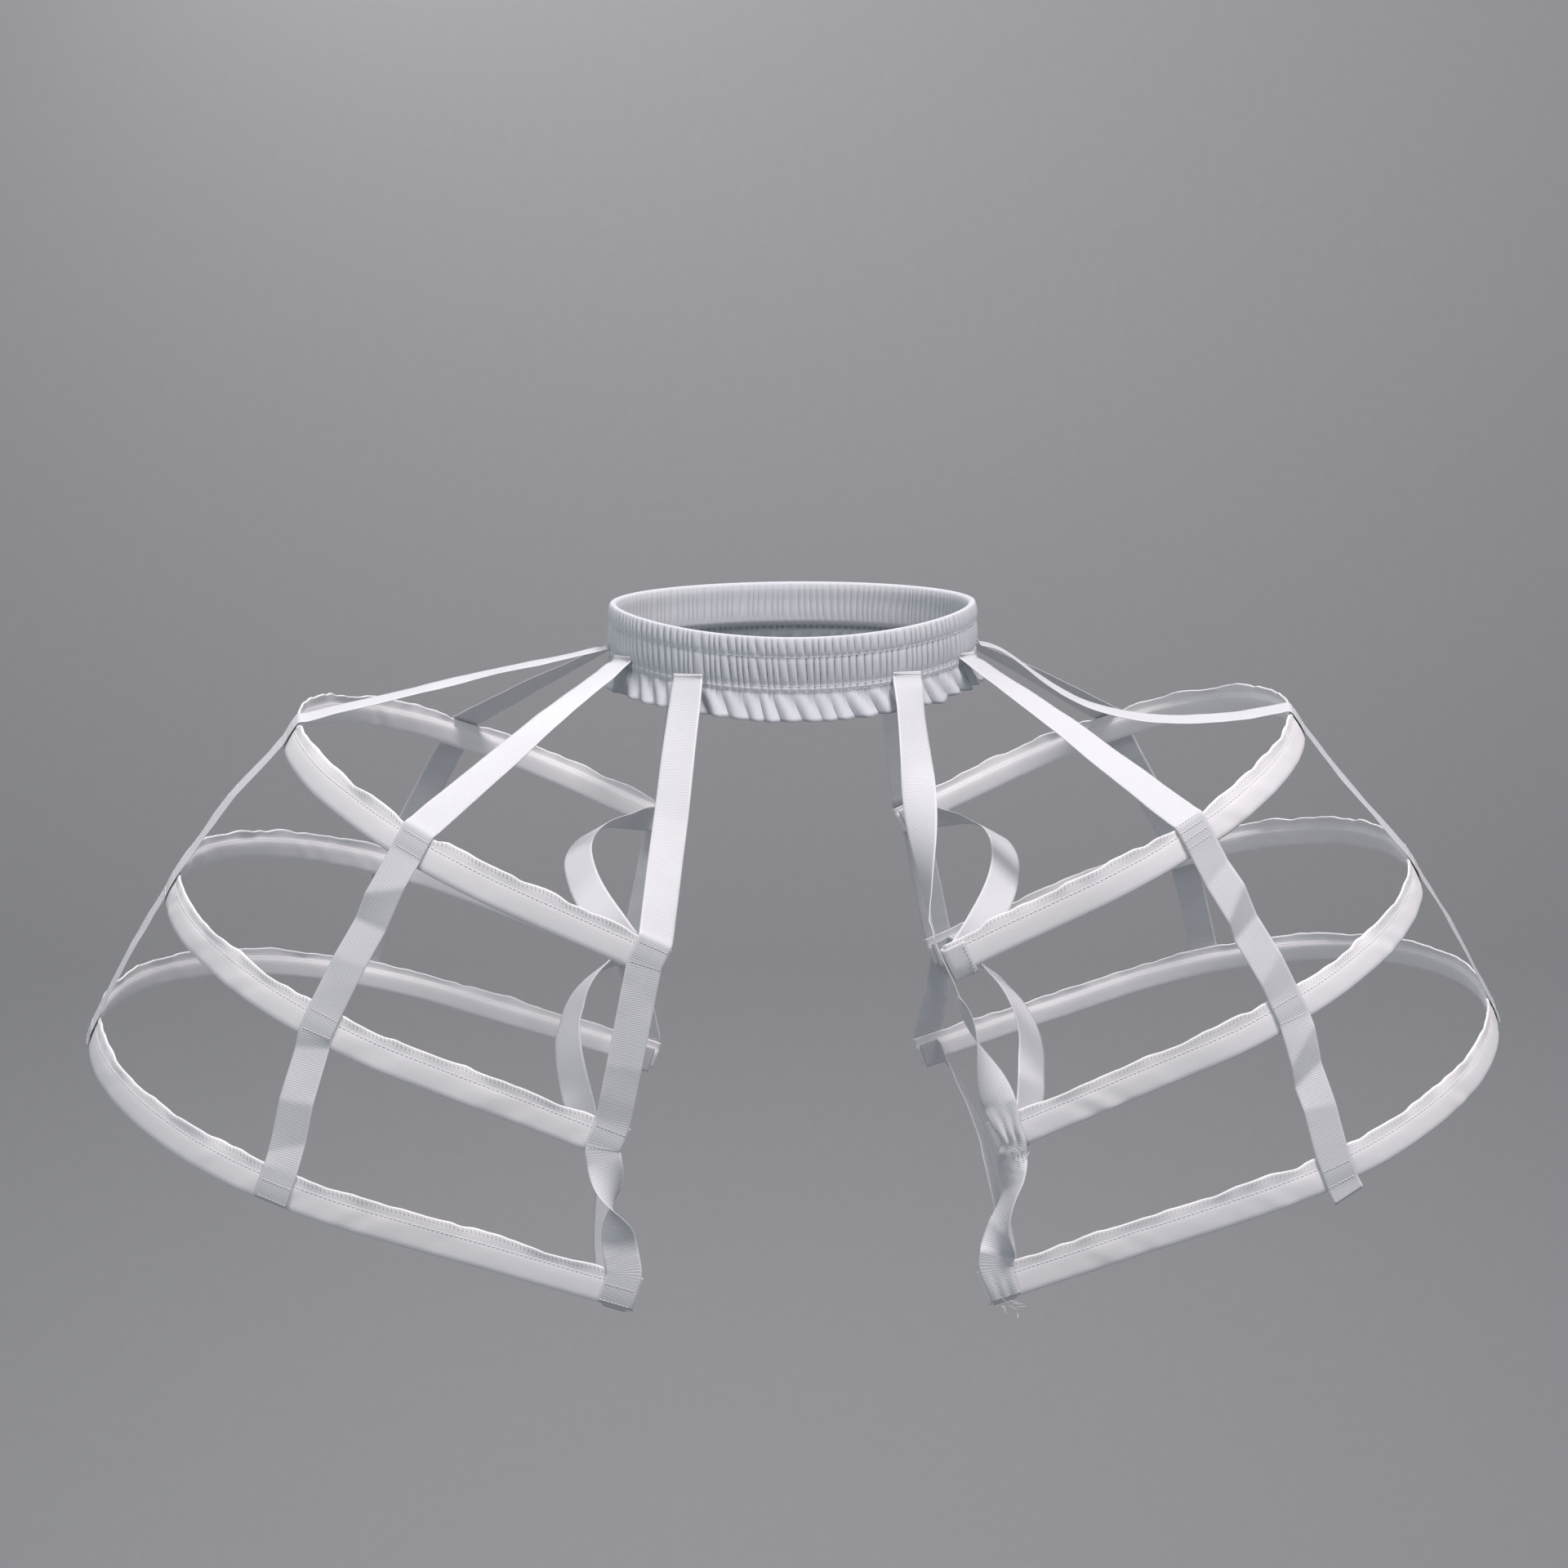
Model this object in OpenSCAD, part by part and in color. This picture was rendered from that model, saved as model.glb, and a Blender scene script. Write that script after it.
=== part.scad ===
// Short open-front crinoline cage: a gathered elastic waistband carries two side cages.
// Each side has three boned hoops in cloth casings, five hanging ribbons, and a tie ribbon across
// the open side of each hoop. Millimetres. Origin at the centre of the waist, level with the middle of the
// band's front, +Z up, front at -Y.

/* [Waistband] */
// Width of the waistband outside, side to side
waist_w = 236; // [200:1:320]
// Depth of the waistband outside, front to back
waist_d = 200; // [160:1:280]
// Height of the gathered band, from its lower stitch line to its top edge
band_h = 29; // [24:1:40]
// Height by which the sides and back of the band stand above its front
side_rise = 10; // [0:1:14]
// Folds in the gathered band all the way round
band_folds = 88; // [60:1:100]
// Depth of the folds in the band
gather_depth = 2; // [1:0.1:3]
// Height of the frill below the lower stitch line
frill_h = 18; // [10:1:26]
// Folds in the frill all the way round
frill_folds = 46; // [24:1:50]
// Depth of the folds in the frill
frill_depth = 2.6; // [1:0.1:4]
// How far the frill's lower edge stands out from the band
frill_flare = 3.5; // [1:0.1:5]
// Thickness of the waistband cloth
cloth_t = 0.6; // [0.4:0.1:1]
// Height of the elastic inside the band
elastic_h = 25; // [15:1:27]
// Thickness of the elastic
elastic_t = 1.6; // [1:0.1:3]

/* [Upper hoop] */
// Length of the upper hoop's bow, from its ends out to its nose
upper_reach = 255; // [220:1:300]
// Depth of the upper hoop, front to back
upper_depth = 342; // [280:1:380]
// Drop of the upper hoop's ends below the waist
upper_drop = 154; // [135:1:180]
// Distance of the upper hoop's ends from the middle of the wearer
upper_gap = 81; // [60:1:110]
// Angle by which the nose of the upper hoop is lifted
upper_tilt = 25.4; // [10:0.1:30]

/* [Middle hoop] */
// Length of the middle hoop's bow, from its ends out to its nose
middle_reach = 307; // [270:1:340]
// Depth of the middle hoop, front to back
middle_depth = 366; // [300:1:420]
// Drop of the middle hoop's ends below the waist
middle_drop = 257; // [230:1:290]
// Distance of the middle hoop's ends from the middle of the wearer
middle_gap = 106; // [70:1:120]
// Angle by which the nose of the middle hoop is lifted
middle_tilt = 23; // [10:0.1:30]

/* [Lower hoop] */
// Length of the lower hoop's bow, from its ends out to its nose
lower_reach = 361; // [320:1:420]
// Depth of the lower hoop, front to back
lower_depth = 400; // [340:1:460]
// Drop of the lower hoop's ends below the waist
lower_drop = 340; // [310:1:400]
// Distance of the lower hoop's ends from the middle of the wearer
lower_gap = 99; // [70:1:130]
// Angle by which the nose of the lower hoop is lifted
lower_tilt = 18.4; // [10:0.1:30]

/* [Cage] */
// Distance of the middle of the hoops in front of the waist's centre
cage_forward = 40; // [0:1:60]

/* [Casing and bone] */
// Height of the rounded pocket that holds the bone
pocket_h = 15; // [13:0.5:20]
// Thickness of the rounded pocket
pocket_t = 7; // [5.5:0.1:9]
// Height of the flat seam flange that stands above the pocket
flange_h = 6; // [3:0.5:10]
// Thickness of the flange, two layers of cloth
flange_t = 1.4; // [1:0.1:2]
// Angle by which the top of a casing leans inwards
casing_lean = 4; // [0:0.5:8]
// Height of the flat bone
bone_h = 10; // [6:0.5:10.5]
// Thickness of the bone
bone_t = 1.5; // [1:0.1:2]
// Length of empty casing beyond each end of the bone
bone_inset = 6; // [3:0.5:12]

/* [Ribbons] */
// Width of every ribbon
ribbon_w = 20; // [12:0.5:22]
// Thickness of every ribbon
ribbon_t = 0.8; // [0.5:0.1:1.2]
// Length of ribbon sewn to the band above the lower stitch line
ribbon_sewn = 4; // [4:0.5:10]
// Angle round the waist from the side to the front and back ribbons
end_ribbon_angle = 56; // [45:1:65]
// Angle round the waist from the side to the slanting ribbons
slant_ribbon_angle = 25; // [25:1:36]
// Place of the front slanting ribbon along a hoop, as a share of its length
front_slant_share = 0.222; // [0.2:0.001:0.3]
// Place of the side ribbon along a hoop, as a share of its length
side_share = 0.447; // [0.42:0.001:0.55]
// Place of the back slanting ribbon along a hoop, as a share of its length
back_slant_share = 0.762; // [0.7:0.001:0.8]
// Length by which the slack right side ribbon stands out level from the waist
slack_level = 35; // [20:1:50]
// Depth to which the slack right side ribbon is drawn down
slack_drop = 75; // [0:1:90]

/* [Tie ribbons] */
// Length of a tie sewn flat inside the end of a casing
tie_sewn = 14; // [8:1:20]
// Distance by which the upper tie stands out from its ends at the wearer's side
upper_tie_bow = 46; // [0:1:60]
// Distance by which the middle tie stands out from its ends at the wearer's side
middle_tie_bow = 27; // [0:1:60]
// Distance by which the lower tie stands out from its ends at the wearer's side
lower_tie_bow = 10; // [0:1:40]
// Angle by which the upper tie leans against the wearer's hip
upper_tie_lean = 35; // [0:1:40]
// Angle by which the middle tie leans against the wearer's hip
middle_tie_lean = 30; // [0:1:40]
// Angle by which the lower tie leans against the wearer's hip
lower_tie_lean = 17; // [0:1:40]

/* [Fit] */
// Gap left between pieces that are sewn or slipped together
fit_gap = 0.3; // [0.2:0.05:0.5]

/* [Hidden] */
$fn = 96;
SIDES = ["left", "right"];
LEVELS = ["upper", "middle", "lower"];

// Sizes of the three hoops, listed from the top down.
reach = [upper_reach, middle_reach, lower_reach];
half_depth = [upper_depth, middle_depth, lower_depth] / 2;
drop = [upper_drop, middle_drop, lower_drop];
gap = [upper_gap, middle_gap, lower_gap];
tilt = [upper_tilt, middle_tilt, lower_tilt];
tie_bow = [upper_tie_bow, middle_tie_bow, lower_tie_bow];
tie_lean = [upper_tie_lean, middle_tie_lean, lower_tie_lean];

// A hoop seen square on is a bow: two straight legs and a half-round nose.
leg_length = reach - half_depth;
nose_length = PI * half_depth;
hoop_length = 2 * leg_length + nose_length;

// Heights and depths in the waistband, and the share of a fold's depth that is left at the stitch lines
// and at the top edge.
band_low = -band_h / 2;
band_top = band_h / 2;
stitch_share = 0.2;
top_share = 0.5;
stitch_in = (1 - stitch_share) * gather_depth;
slot_out = -gather_depth - cloth_t;
slot_in = slot_out - elastic_t - 2 * fit_gap;
body_face = slot_in - cloth_t;
lip_h = (band_h - elastic_h) / 2;

// Rest of the casing section, measured from the middle of the pocket.
pocket_r = (pow(pocket_h, 2) + pow(pocket_t, 2)) / (4 * pocket_t);
flange_top = pocket_h / 2 + flange_h;
// Distance of the middle of a ribbon's thickness from the cloth that it is sewn to
ribbon_lift = fit_gap + ribbon_t / 2;
// Steps in a ribbon's free span between two hoops, and in one that turns on its way
span_steps = 4;
turn_steps = 14;

function unit(v) = v / norm(v);
function mix(a, b, t) = a + (b - a) * t;
function bezier(p, t) =
    pow(1 - t, 3) * p[0] + 3 * t * pow(1 - t, 2) * p[1] + 3 * t * t * (1 - t) * p[2] + pow(t, 3) * p[3];
// Step along a curve over which its direction is taken
small_step = 0.01;

// Place and outward direction on a hoop, at a distance along it from its front end.
function front_bow(i, d) =
    d < leg_length[i]
        ? [[d, -half_depth[i]], [0, -1]]
        : let (a = (d - leg_length[i]) / half_depth[i] * 180 / PI - 90)
            [[leg_length[i] + half_depth[i] * cos(a), half_depth[i] * sin(a)], [cos(a), sin(a)]];
function bow(i, d) =
    d <= hoop_length[i] / 2
        ? front_bow(i, d)
        : [for (p = front_bow(i, hoop_length[i] - d)) [p[0], -p[1]]];
// Depth of the hollow that a flat ribbon bridges where the hoop bends under it
function bow_sag(i, d) =
    min(d, hoop_length[i] - d) + ribbon_w / 2 < leg_length[i]
        ? 0
        : pow(ribbon_w, 2) / 8 / half_depth[i];

// A direction or a place in a hoop's own plane, brought into the cage.
function tilted(i, v) =
    [v[0] * cos(tilt[i]) - v[2] * sin(tilt[i]), v[1], v[0] * sin(tilt[i]) + v[2] * cos(tilt[i])];
function placed(i, v) = [gap[i], -cage_forward, -drop[i]] + tilted(i, v);
// A direction of the casing section, out and up, at a distance along the hoop.
function section_dir(i, d, q) =
    let (n = bow(i, d)[1], out = q[0] * cos(casing_lean) - q[1] * sin(casing_lean))
    tilted(i, [n[0] * out, n[1] * out, q[0] * sin(casing_lean) + q[1] * cos(casing_lean)]);
function section_point(i, d, q) =
    let (p = bow(i, d)[0]) placed(i, [p[0], p[1], 0]) + section_dir(i, d, q);

// Place on the oval of the waist, moved out by an offset.
function oval(a, off) =
    let (n = unit([cos(a) / waist_w, sin(a) / waist_d]))
    [waist_w / 2 * cos(a) + off * n[0], waist_d / 2 * sin(a) + off * n[1]];
function oval_out(a) = let (n = unit([cos(a) / waist_w, sin(a) / waist_d])) [n[0], n[1], 0];
// Height of the band above its front, round the waist.
function band_rise(a) = side_rise * (1 - pow(max(0, -sin(a)), 2));
function oval_along(a) = let (n = oval_out(a)) [-n[1], n[0], 0];

// Skin of a row of rings of points: capped at its ends, or closed on itself. The two halves of a ring
// are split along matching diagonals, so a thin strip keeps its thickness where it turns.
module skin(rings, closed = false) {
    m = len(rings);
    n = len(rings[0]);
    end = (m - 1) * n;
    sides = [for (k = [0:closed ? m - 1 : m - 2], j = [0:n - 1], half = [0, 1])
        let (a = k * n, b = ((k + 1) % m) * n, j2 = (j + 1) % n)
        j < n / 2
            ? (half == 0 ? [a + j, b + j, b + j2] : [a + j, b + j2, a + j2])
            : (half == 0 ? [a + j, b + j, a + j2] : [b + j, b + j2, a + j2])];
    caps = closed ? [] : [for (j = [1:n - 2], last = [0, 1])
        last == 0 ? [0, j, j + 1] : [end, end + j + 1, end + j]];
    polyhedron(points = [for (r = rings, p = r) p], faces = concat(sides, caps), convexity = 12);
}

// A ribbon is a row of stations, each with its middle, its width direction and its face direction.
function station_ring(s) =
    let (w = s[1] * ribbon_w / 2, f = s[2] * ribbon_t / 2)
    [s[0] - w - f, s[0] + w - f, s[0] + w + f, s[0] - w + f];
function turned(s, a) = [s[0], s[1] * cos(a) + s[2] * sin(a), s[2] * cos(a) - s[1] * sin(a)];

// Share of a turn that is made at a share of the way: none in the first and last quarter.
function turn_share(t) = let (x = min(1, max(0, 2 * t - 0.5))) x * x * (3 - 2 * x);
// Free stretch between two stations, which may turn over on the way.
function span(s, e, steps, twist = 0) =
    let (dir = unit(e[0] - s[0]))
    [for (k = [1:steps - 1])
        let (
            t = k / steps,
            w0 = mix(s[1], e[1], t),
            w = unit(w0 - (w0 * dir) * dir)
        )
        turned([mix(s[0], e[0], t), w, cross(dir, w)], twist * turn_share(t))];

// Free stretch of a slack ribbon: level from the waist, then down, then up to the hoop. Its lowest pull
// lies this many times its level length from the waist.
slack_far = 1.4;
function slack_span(s, e, n, steps) =
    let (p = [s[0], s[0] + n * slack_level, s[0] + n * slack_far * slack_level - [0, 0, slack_drop], e[0]])
    [for (k = [1:steps - 1])
        let (
            t = k / steps,
            dir = unit(bezier(p, t + small_step) - bezier(p, t - small_step)),
            w0 = mix(s[1], e[1], t),
            w = unit(w0 - (w0 * dir) * dir)
        )
        [bezier(p, t), w, cross(dir, w)]];

// Stations where a ribbon is sewn over the outside of a casing, at places of the casing section.
function crossing(i, d, places) =
    let (sag = bow_sag(i, d))
    [for (q = places)
        let (
            a = section_point(i, d - ribbon_w / 2, [q[0] + sag, q[1]]),
            b = section_point(i, d + ribbon_w / 2, [q[0] + sag, q[1]]),
            w = unit(b - a),
            f0 = section_dir(i, d, [q[2], q[3]])
        )
        [(a + b) / 2, w, unit(f0 - (f0 * w) * w)]];
corner_lift = ribbon_lift / sqrt(2);
over_top = [[-flange_t / 2, flange_top + ribbon_lift, 0, 1],
    [flange_t / 2 + corner_lift, flange_top + corner_lift, 1, 1],
    [flange_t / 2 + ribbon_lift, flange_top - flange_t, 1, 0]];
beside_top = [[flange_t / 2 + ribbon_lift, flange_top, 1, 0]];
down_face = [for (y = [pocket_h / 8, -pocket_h / 8]) [pocket_t / 2 + ribbon_lift, y, 1, 0]];
// Stations where a ribbon is sewn down the end of a casing, given as they were before their quarter turn.
function end_crossing(i) =
    let (out = tilted(i, [-1, 0, 0]), ahead = tilted(i, [0, -1, 0]))
    [for (y = [flange_top + 2 * flange_t, 0, -pocket_h / 2 - 2 * flange_t])
        turned([section_point(i, 0, [0, y]) + ribbon_lift * out, ahead, out], -quarter)];
under_y = -pocket_h / 3;
under_n = unit([sqrt(pow(pocket_r, 2) - pow(under_y, 2)), under_y]);
under_end = [[pocket_r * under_n[0] - pocket_r + pocket_t / 2 + ribbon_lift * under_n[0],
    under_y + ribbon_lift * under_n[1], under_n[0], under_n[1]]];

// Stations where a ribbon is sewn to the band, over its lower stitch line.
function waist_stations(a) =
    let (
        sag = pow(ribbon_w, 2) / 8 / (min(waist_w, waist_d) / 2),
        p = oval(a, ribbon_lift + sag)
    )
    [for (z = [ribbon_sewn, 0]) [[p[0], p[1], band_rise(a) + band_low + z], oval_along(a), oval_out(a)]];
// Station where a ribbon has bent away from the band towards a place.
function leaving(s, target) =
    let (
        dir = unit(target - s[0]),
        w = unit(s[1] - (s[1] * dir) * dir)
    )
    [s[0] + dir * 2 * ribbon_t, w, cross(dir, w)];
function bent(s, e) = [s[0], s[1], unit(s[2] + e[2])];

function flipped(stations, twist) = [for (s = stations) turned(s, twist)];
// Whole hanging ribbon of the right side. The turns are those that it makes before each hoop. After a
// quarter turn before the upper hoop, it is sewn to that hoop's end.
quarter = 90;
function ribbon_stations(a, along, turns, slack) =
    let (
        sewn = waist_stations(a),
        spin = [turns[0], turns[0] + turns[1], turns[0] + turns[1] + turns[2]],
        steps = [for (i = [0:2]) turns[i] == 0 && i > 0 ? span_steps : turn_steps],
        c0 = turns[0] == quarter ? end_crossing(0) : crossing(0, along[0], concat(over_top, down_face)),
        c1 = crossing(1, along[1], concat(beside_top, down_face)),
        c2 = crossing(2, along[2], concat(beside_top, down_face, under_end)),
        free = leaving(sewn[1], slack ? sewn[1][0] + oval_out(a) : c0[0][0])
    )
    concat(
        [sewn[0], bent(sewn[1], free), free],
        slack ? slack_span(free, c0[0], oval_out(a), steps[0]) : span(free, c0[0], steps[0], turns[0]),
        flipped(c0, spin[0]), flipped(span(c0[len(c0) - 1], c1[0], steps[1], turns[1]), spin[0]),
        flipped(c1, spin[1]), flipped(span(c1[len(c1) - 1], c2[0], steps[2], turns[2]), spin[1]),
        flipped(c2, spin[2])
    );

// Places of the five ribbons round the waist and along the hoops.
ribbon_angles = [-end_ribbon_angle, -slant_ribbon_angle, 0, slant_ribbon_angle, end_ribbon_angle];
end_place = ribbon_w / 2 + fit_gap;
function ribbon_along(r) = [for (i = [0:2])
    r == 0 ? end_place
        : r == 4 ? hoop_length[i] - end_place
        : [front_slant_share, side_share, back_slant_share][r - 1] * hoop_length[i]];

// Stations of a tie: flat inside the front end of a casing, straight for the wearer's side, round it, and
// flat inside the back end.
tie_face = [-pocket_t / 2 - ribbon_lift, 0];
tie_free_steps = 12;
function tie_seat(i, d) =
    [section_point(i, d, tie_face), section_dir(i, d, [0, 1]), section_dir(i, d, [1, 0])];
function tie_stations(i) =
    let (
        first = end_place / 4,
        last = hoop_length[i] - first,
        s = tie_seat(i, first + tie_sewn),
        e = tie_seat(i, last - tie_sewn),
        up = tilted(i, [0, 0, 1]),
        side = (s[0] + e[0]) / 2 + tilted(i, [2 * tie_bow[i], 0, 0]),
        p = [s[0], mix(s[0], side, 2 / 3), mix(e[0], side, 2 / 3), e[0]],
        free = [for (k = [0:tie_free_steps])
            let (
                t = k / tie_free_steps,
                dir = unit(bezier(p, t + small_step) - bezier(p, t - small_step))
            )
            [bezier(p, t), up, cross(dir, up)]]
    )
    concat(
        [tie_seat(i, first), bent(s, free[0])],
        [for (k = [1:tie_free_steps - 1]) turned(free[k], -tie_lean[i])],
        [bent(e, free[tie_free_steps]), tie_seat(i, last)]
    );

// Section of the waistband at one column: gathered outside, round the elastic, and down to the frill.
columns = 2 * band_folds;
function band_wave(k, share) = -stitch_in * (1 - share) - (k % 2) * gather_depth * share;
function frill_wave(k, share) =
    share * (frill_flare + frill_depth / 2 * sin(360 * frill_folds * k / columns + 90 * share));
function band_section(k) =
    let (
        row = band_h / 2,
        half = band_low - frill_h / 2,
        hem = band_low - frill_h,
        half_out = frill_wave(k, 0.5) - stitch_in / 2,
        hem_out = frill_wave(k, 1),
        lip = slot_out - fit_gap
    )
    [
        [hem_out, hem], [half_out, half],
        [band_wave(k, stitch_share), band_low],
        [band_wave(k, 1), band_low + row / 4], [band_wave(k, 1), band_low + 3 * row / 4],
        [band_wave(k, stitch_share), band_low + row],
        [band_wave(k, 1), band_low + 5 * row / 4], [band_wave(k, 1), band_low + 7 * row / 4],
        [band_wave(k, top_share), band_top],
        [body_face, band_top], [body_face, band_low + lip_h],
        [lip - cloth_t, band_low], [lip, band_low],
        [slot_in, band_low + lip_h - fit_gap], [slot_in, band_top - cloth_t],
        [slot_out, band_top - cloth_t], [slot_out, band_low],
        [half_out - cloth_t, half], [hem_out - cloth_t, hem]
    ];
function ring_at(a, section) = [for (q = section) let (p = oval(a, q[0])) [p[0], p[1], q[1] + band_rise(a)]];

module waistband() {
    color("white")
        skin([for (k = [0:columns - 1]) ring_at(-360 * k / columns, band_section(k))], closed = true);
}

module waist_elastic() {
    out = slot_out - fit_gap;
    inside = out - elastic_t;
    low = band_low + lip_h;
    section = [[out, low], [out, low + elastic_h - cloth_t - fit_gap],
        [inside, low + elastic_h - cloth_t - fit_gap], [inside, low]];
    color("ivory")
        skin([for (k = [0:band_folds - 1]) ring_at(-360 * k / band_folds, section)], closed = true);
}

// Carries a flat section along a hoop, from one end to the other.
module along_hoop(i, inset = 0) {
    translate([gap[i], -cage_forward, -drop[i]]) rotate([0, -tilt[i], 0]) {
        for (s = [0, 1]) mirror([0, s, 0])
            translate([inset, half_depth[i], 0]) rotate([90, 0, 90])
                linear_extrude(leg_length[i] - inset) children();
        translate([leg_length[i], 0, 0]) rotate([0, 0, -90])
            rotate_extrude(angle = 180) translate([half_depth[i], 0]) children();
    }
}

// Lens-shaped pocket with a flat flange on top and a slot for the bone.
module casing_section() {
    shift = pocket_r - pocket_t / 2;
    root = pocket_h / 2 - flange_t;
    rotate([0, 0, casing_lean]) difference() {
        union() {
            intersection() {
                translate([shift, 0]) circle(pocket_r);
                translate([-shift, 0]) circle(pocket_r);
            }
            translate([-flange_t / 2, root]) square([flange_t, flange_top - root]);
        }
        square([bone_t + 2 * fit_gap, bone_h + 2 * fit_gap], center = true);
    }
}

module casing(side, i) {
    color("white") mirror([side == "left" ? 1 : 0, 0, 0]) along_hoop(i) casing_section();
}

module bone(side, i) {
    color("gainsboro") mirror([side == "left" ? 1 : 0, 0, 0])
        along_hoop(i, bone_inset) rotate([0, 0, casing_lean]) square([bone_t, bone_h], center = true);
}

module tie(side, i) {
    color("white") mirror([side == "left" ? 1 : 0, 0, 0])
        skin([for (s = tie_stations(i)) station_ring(s)]);
}

// The left front ribbon is turned over above the lower hoop. The right one makes a quarter turn on each
// side of the upper hoop. The right side ribbon is slack.
straight = [0, 0, 0];
left_turns = [[0, 0, 2 * quarter], straight, straight, straight, straight];
right_turns = [[quarter, quarter, 0], straight, straight, straight, straight];
side_ribbon = 2;
module ribbon(side, r) {
    turns = side == "left" ? left_turns[r] : right_turns[r];
    slack = side == "right" && r == side_ribbon;
    color("white") mirror([side == "left" ? 1 : 0, 0, 0])
        skin([for (s = ribbon_stations(ribbon_angles[r], ribbon_along(r), turns, slack)) station_ring(s)]);
}

RIBBONS = ["front", "front_slant", "side", "back_slant", "back"];
waistband();
waist_elastic();
for (side = SIDES, i = [0:2]) {
    casing(side, i);
    bone(side, i);
    tie(side, i);
}
for (side = SIDES, r = [0:4])
    ribbon(side, r);
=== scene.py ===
import math

import bpy
import numpy as np
from mathutils import Matrix, Vector


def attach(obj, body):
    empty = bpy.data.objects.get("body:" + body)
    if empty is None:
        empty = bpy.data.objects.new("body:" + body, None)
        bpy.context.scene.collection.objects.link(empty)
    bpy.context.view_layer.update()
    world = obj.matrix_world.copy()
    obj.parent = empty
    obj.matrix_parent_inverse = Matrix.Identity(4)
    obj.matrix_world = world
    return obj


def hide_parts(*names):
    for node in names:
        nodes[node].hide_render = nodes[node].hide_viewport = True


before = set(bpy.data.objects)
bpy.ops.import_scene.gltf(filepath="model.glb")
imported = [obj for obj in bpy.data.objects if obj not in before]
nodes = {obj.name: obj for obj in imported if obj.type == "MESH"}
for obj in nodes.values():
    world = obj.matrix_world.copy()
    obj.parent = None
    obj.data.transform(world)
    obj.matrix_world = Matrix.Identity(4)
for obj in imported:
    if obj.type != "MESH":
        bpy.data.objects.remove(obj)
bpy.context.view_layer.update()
scene = bpy.context.scene
MM = 0.001

# Sizes of the waistband and the hoops, as in the solids
WAIST_W = 236.0
WAIST_D = 200.0
BAND_H = 29.0
SIDE_RISE = 10.0
BAND_LOW = -BAND_H / 2
BAND_TOP = BAND_H / 2
REACH = np.array([255.0, 307.0, 361.0])
HALF_DEPTH = np.array([342.0, 366.0, 400.0]) / 2
DROP = (154.0, 257.0, 340.0)
GAP = (81.0, 106.0, 99.0)
TILT = np.radians([25.4, 23.0, 18.4])
LEG = REACH - HALF_DEPTH
HOOP_LENGTH = 2 * LEG + math.pi * HALF_DEPTH
CAGE_FORWARD = 40.0
POCKET_H = 15.0
FLANGE_H = 6.0
FLANGE_T = 1.4
FLANGE_TOP = POCKET_H / 2 + FLANGE_H
LEAN = math.radians(4)

# Sizes of the ribbons and ties, as in the solids
FIT_GAP = 0.3
RIBBON_W = 20.0
RIBBON_ANGLES = np.radians([-56.0, -25.0, 0.0, 25.0, 56.0])
SHARES = [None, 0.222, 0.447, 0.762, None]
END_PLACE = RIBBON_W / 2 + FIT_GAP
TIE_SEWN = 14.0
TIE_BOW = [46.0, 27.0, 10.0]
TIE_LEAN = np.radians([35.0, 30.0, 17.0])

# Sizes that differ from those of the solids, to suit cloth
FRILL_H = 20.0
FACE_OUT = 2.8
FLANGE_OUT = 1.6
RIBBON_SEWN = 2.8
RIBBON_CLOTH = 0.45
LIFT = 0.4

SIDES = ["left", "right"]
LEVELS = ["upper", "middle", "lower"]
RIBBONS = ["front", "front_slant", "side", "back_slant", "back"]


# Small helpers, and the first seed of each kind of piece

CASING_SEED = 100
RIBBON_SEED = 1000
TIE_SEED = 3000


def unit(v):
    v = np.asarray(v, float)
    return v / np.linalg.norm(v, axis=-1, keepdims=True)


def without(v, direction):
    """Unit vector of what is left of v across a direction."""
    return unit(v - (v * direction).sum(-1, keepdims=True) * direction)


def mix(a, b, t):
    return a + (b - a) * t


def smooth(x):
    x = np.clip(x, 0, 1)
    return x * x * (3 - 2 * x)


def fade(x, kind):
    """0 up to a start, then smoothly up to 1. The kind is the start and the length of the rise."""
    start, length = kind
    return smooth((x - start) / length)


def run_along(points):
    """Length along a row of points, from 0 at the first one."""
    return np.concatenate([[0], np.cumsum(np.linalg.norm(np.diff(points, axis=0), axis=1))])


def wobble(x, pitch, seed, wrap=256):
    """Smooth noise from -1 to 1 along a line, with a value every pitch. It repeats after wrap values."""
    table = np.random.default_rng(seed).uniform(-1, 1, wrap)
    t = np.asarray(x, float) / pitch
    k = np.floor(t).astype(int)
    return mix(table[k % len(table)], table[(k + 1) % len(table)], smooth(t - k))


def seed_of(first, k, side):
    """Seed of the draws of a piece, by its number and its side."""
    return first + 100 * k + 50 * SIDES.index(side)


def uneven(x, kind, seed):
    """Wobble along a line. The kind is its size and its pitch."""
    size, pitch = kind
    return size * wobble(x, pitch, seed)


# Places on a hoop and round the waist, as in the solids

def bow(i, d):
    """Place and outward direction in the hoop's own plane, at a distance along it from its front end."""
    d = np.asarray(d, float)
    back = d > HOOP_LENGTH[i] / 2
    e = np.where(back, HOOP_LENGTH[i] - d, d)
    a = np.maximum(e - LEG[i], 0) / HALF_DEPTH[i] - math.pi / 2
    out = np.stack([np.cos(a), np.sin(a)], -1)
    place = out * HALF_DEPTH[i] + np.stack([np.minimum(e, LEG[i]), 0 * e], -1)
    flip = np.where(back, -1.0, 1.0)
    place[..., 1] *= flip
    out[..., 1] *= flip
    return place, out


def tilted(i, v):
    v = np.asarray(v, float)
    c, s = math.cos(TILT[i]), math.sin(TILT[i])
    return np.stack([v[..., 0] * c - v[..., 2] * s, v[..., 1], v[..., 0] * s + v[..., 2] * c], -1)


# Directions of a casing's section, out and up
OUT = (1.0, 0.0)
IN = (-1.0, 0.0)
UP = (0.0, 1.0)


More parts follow.
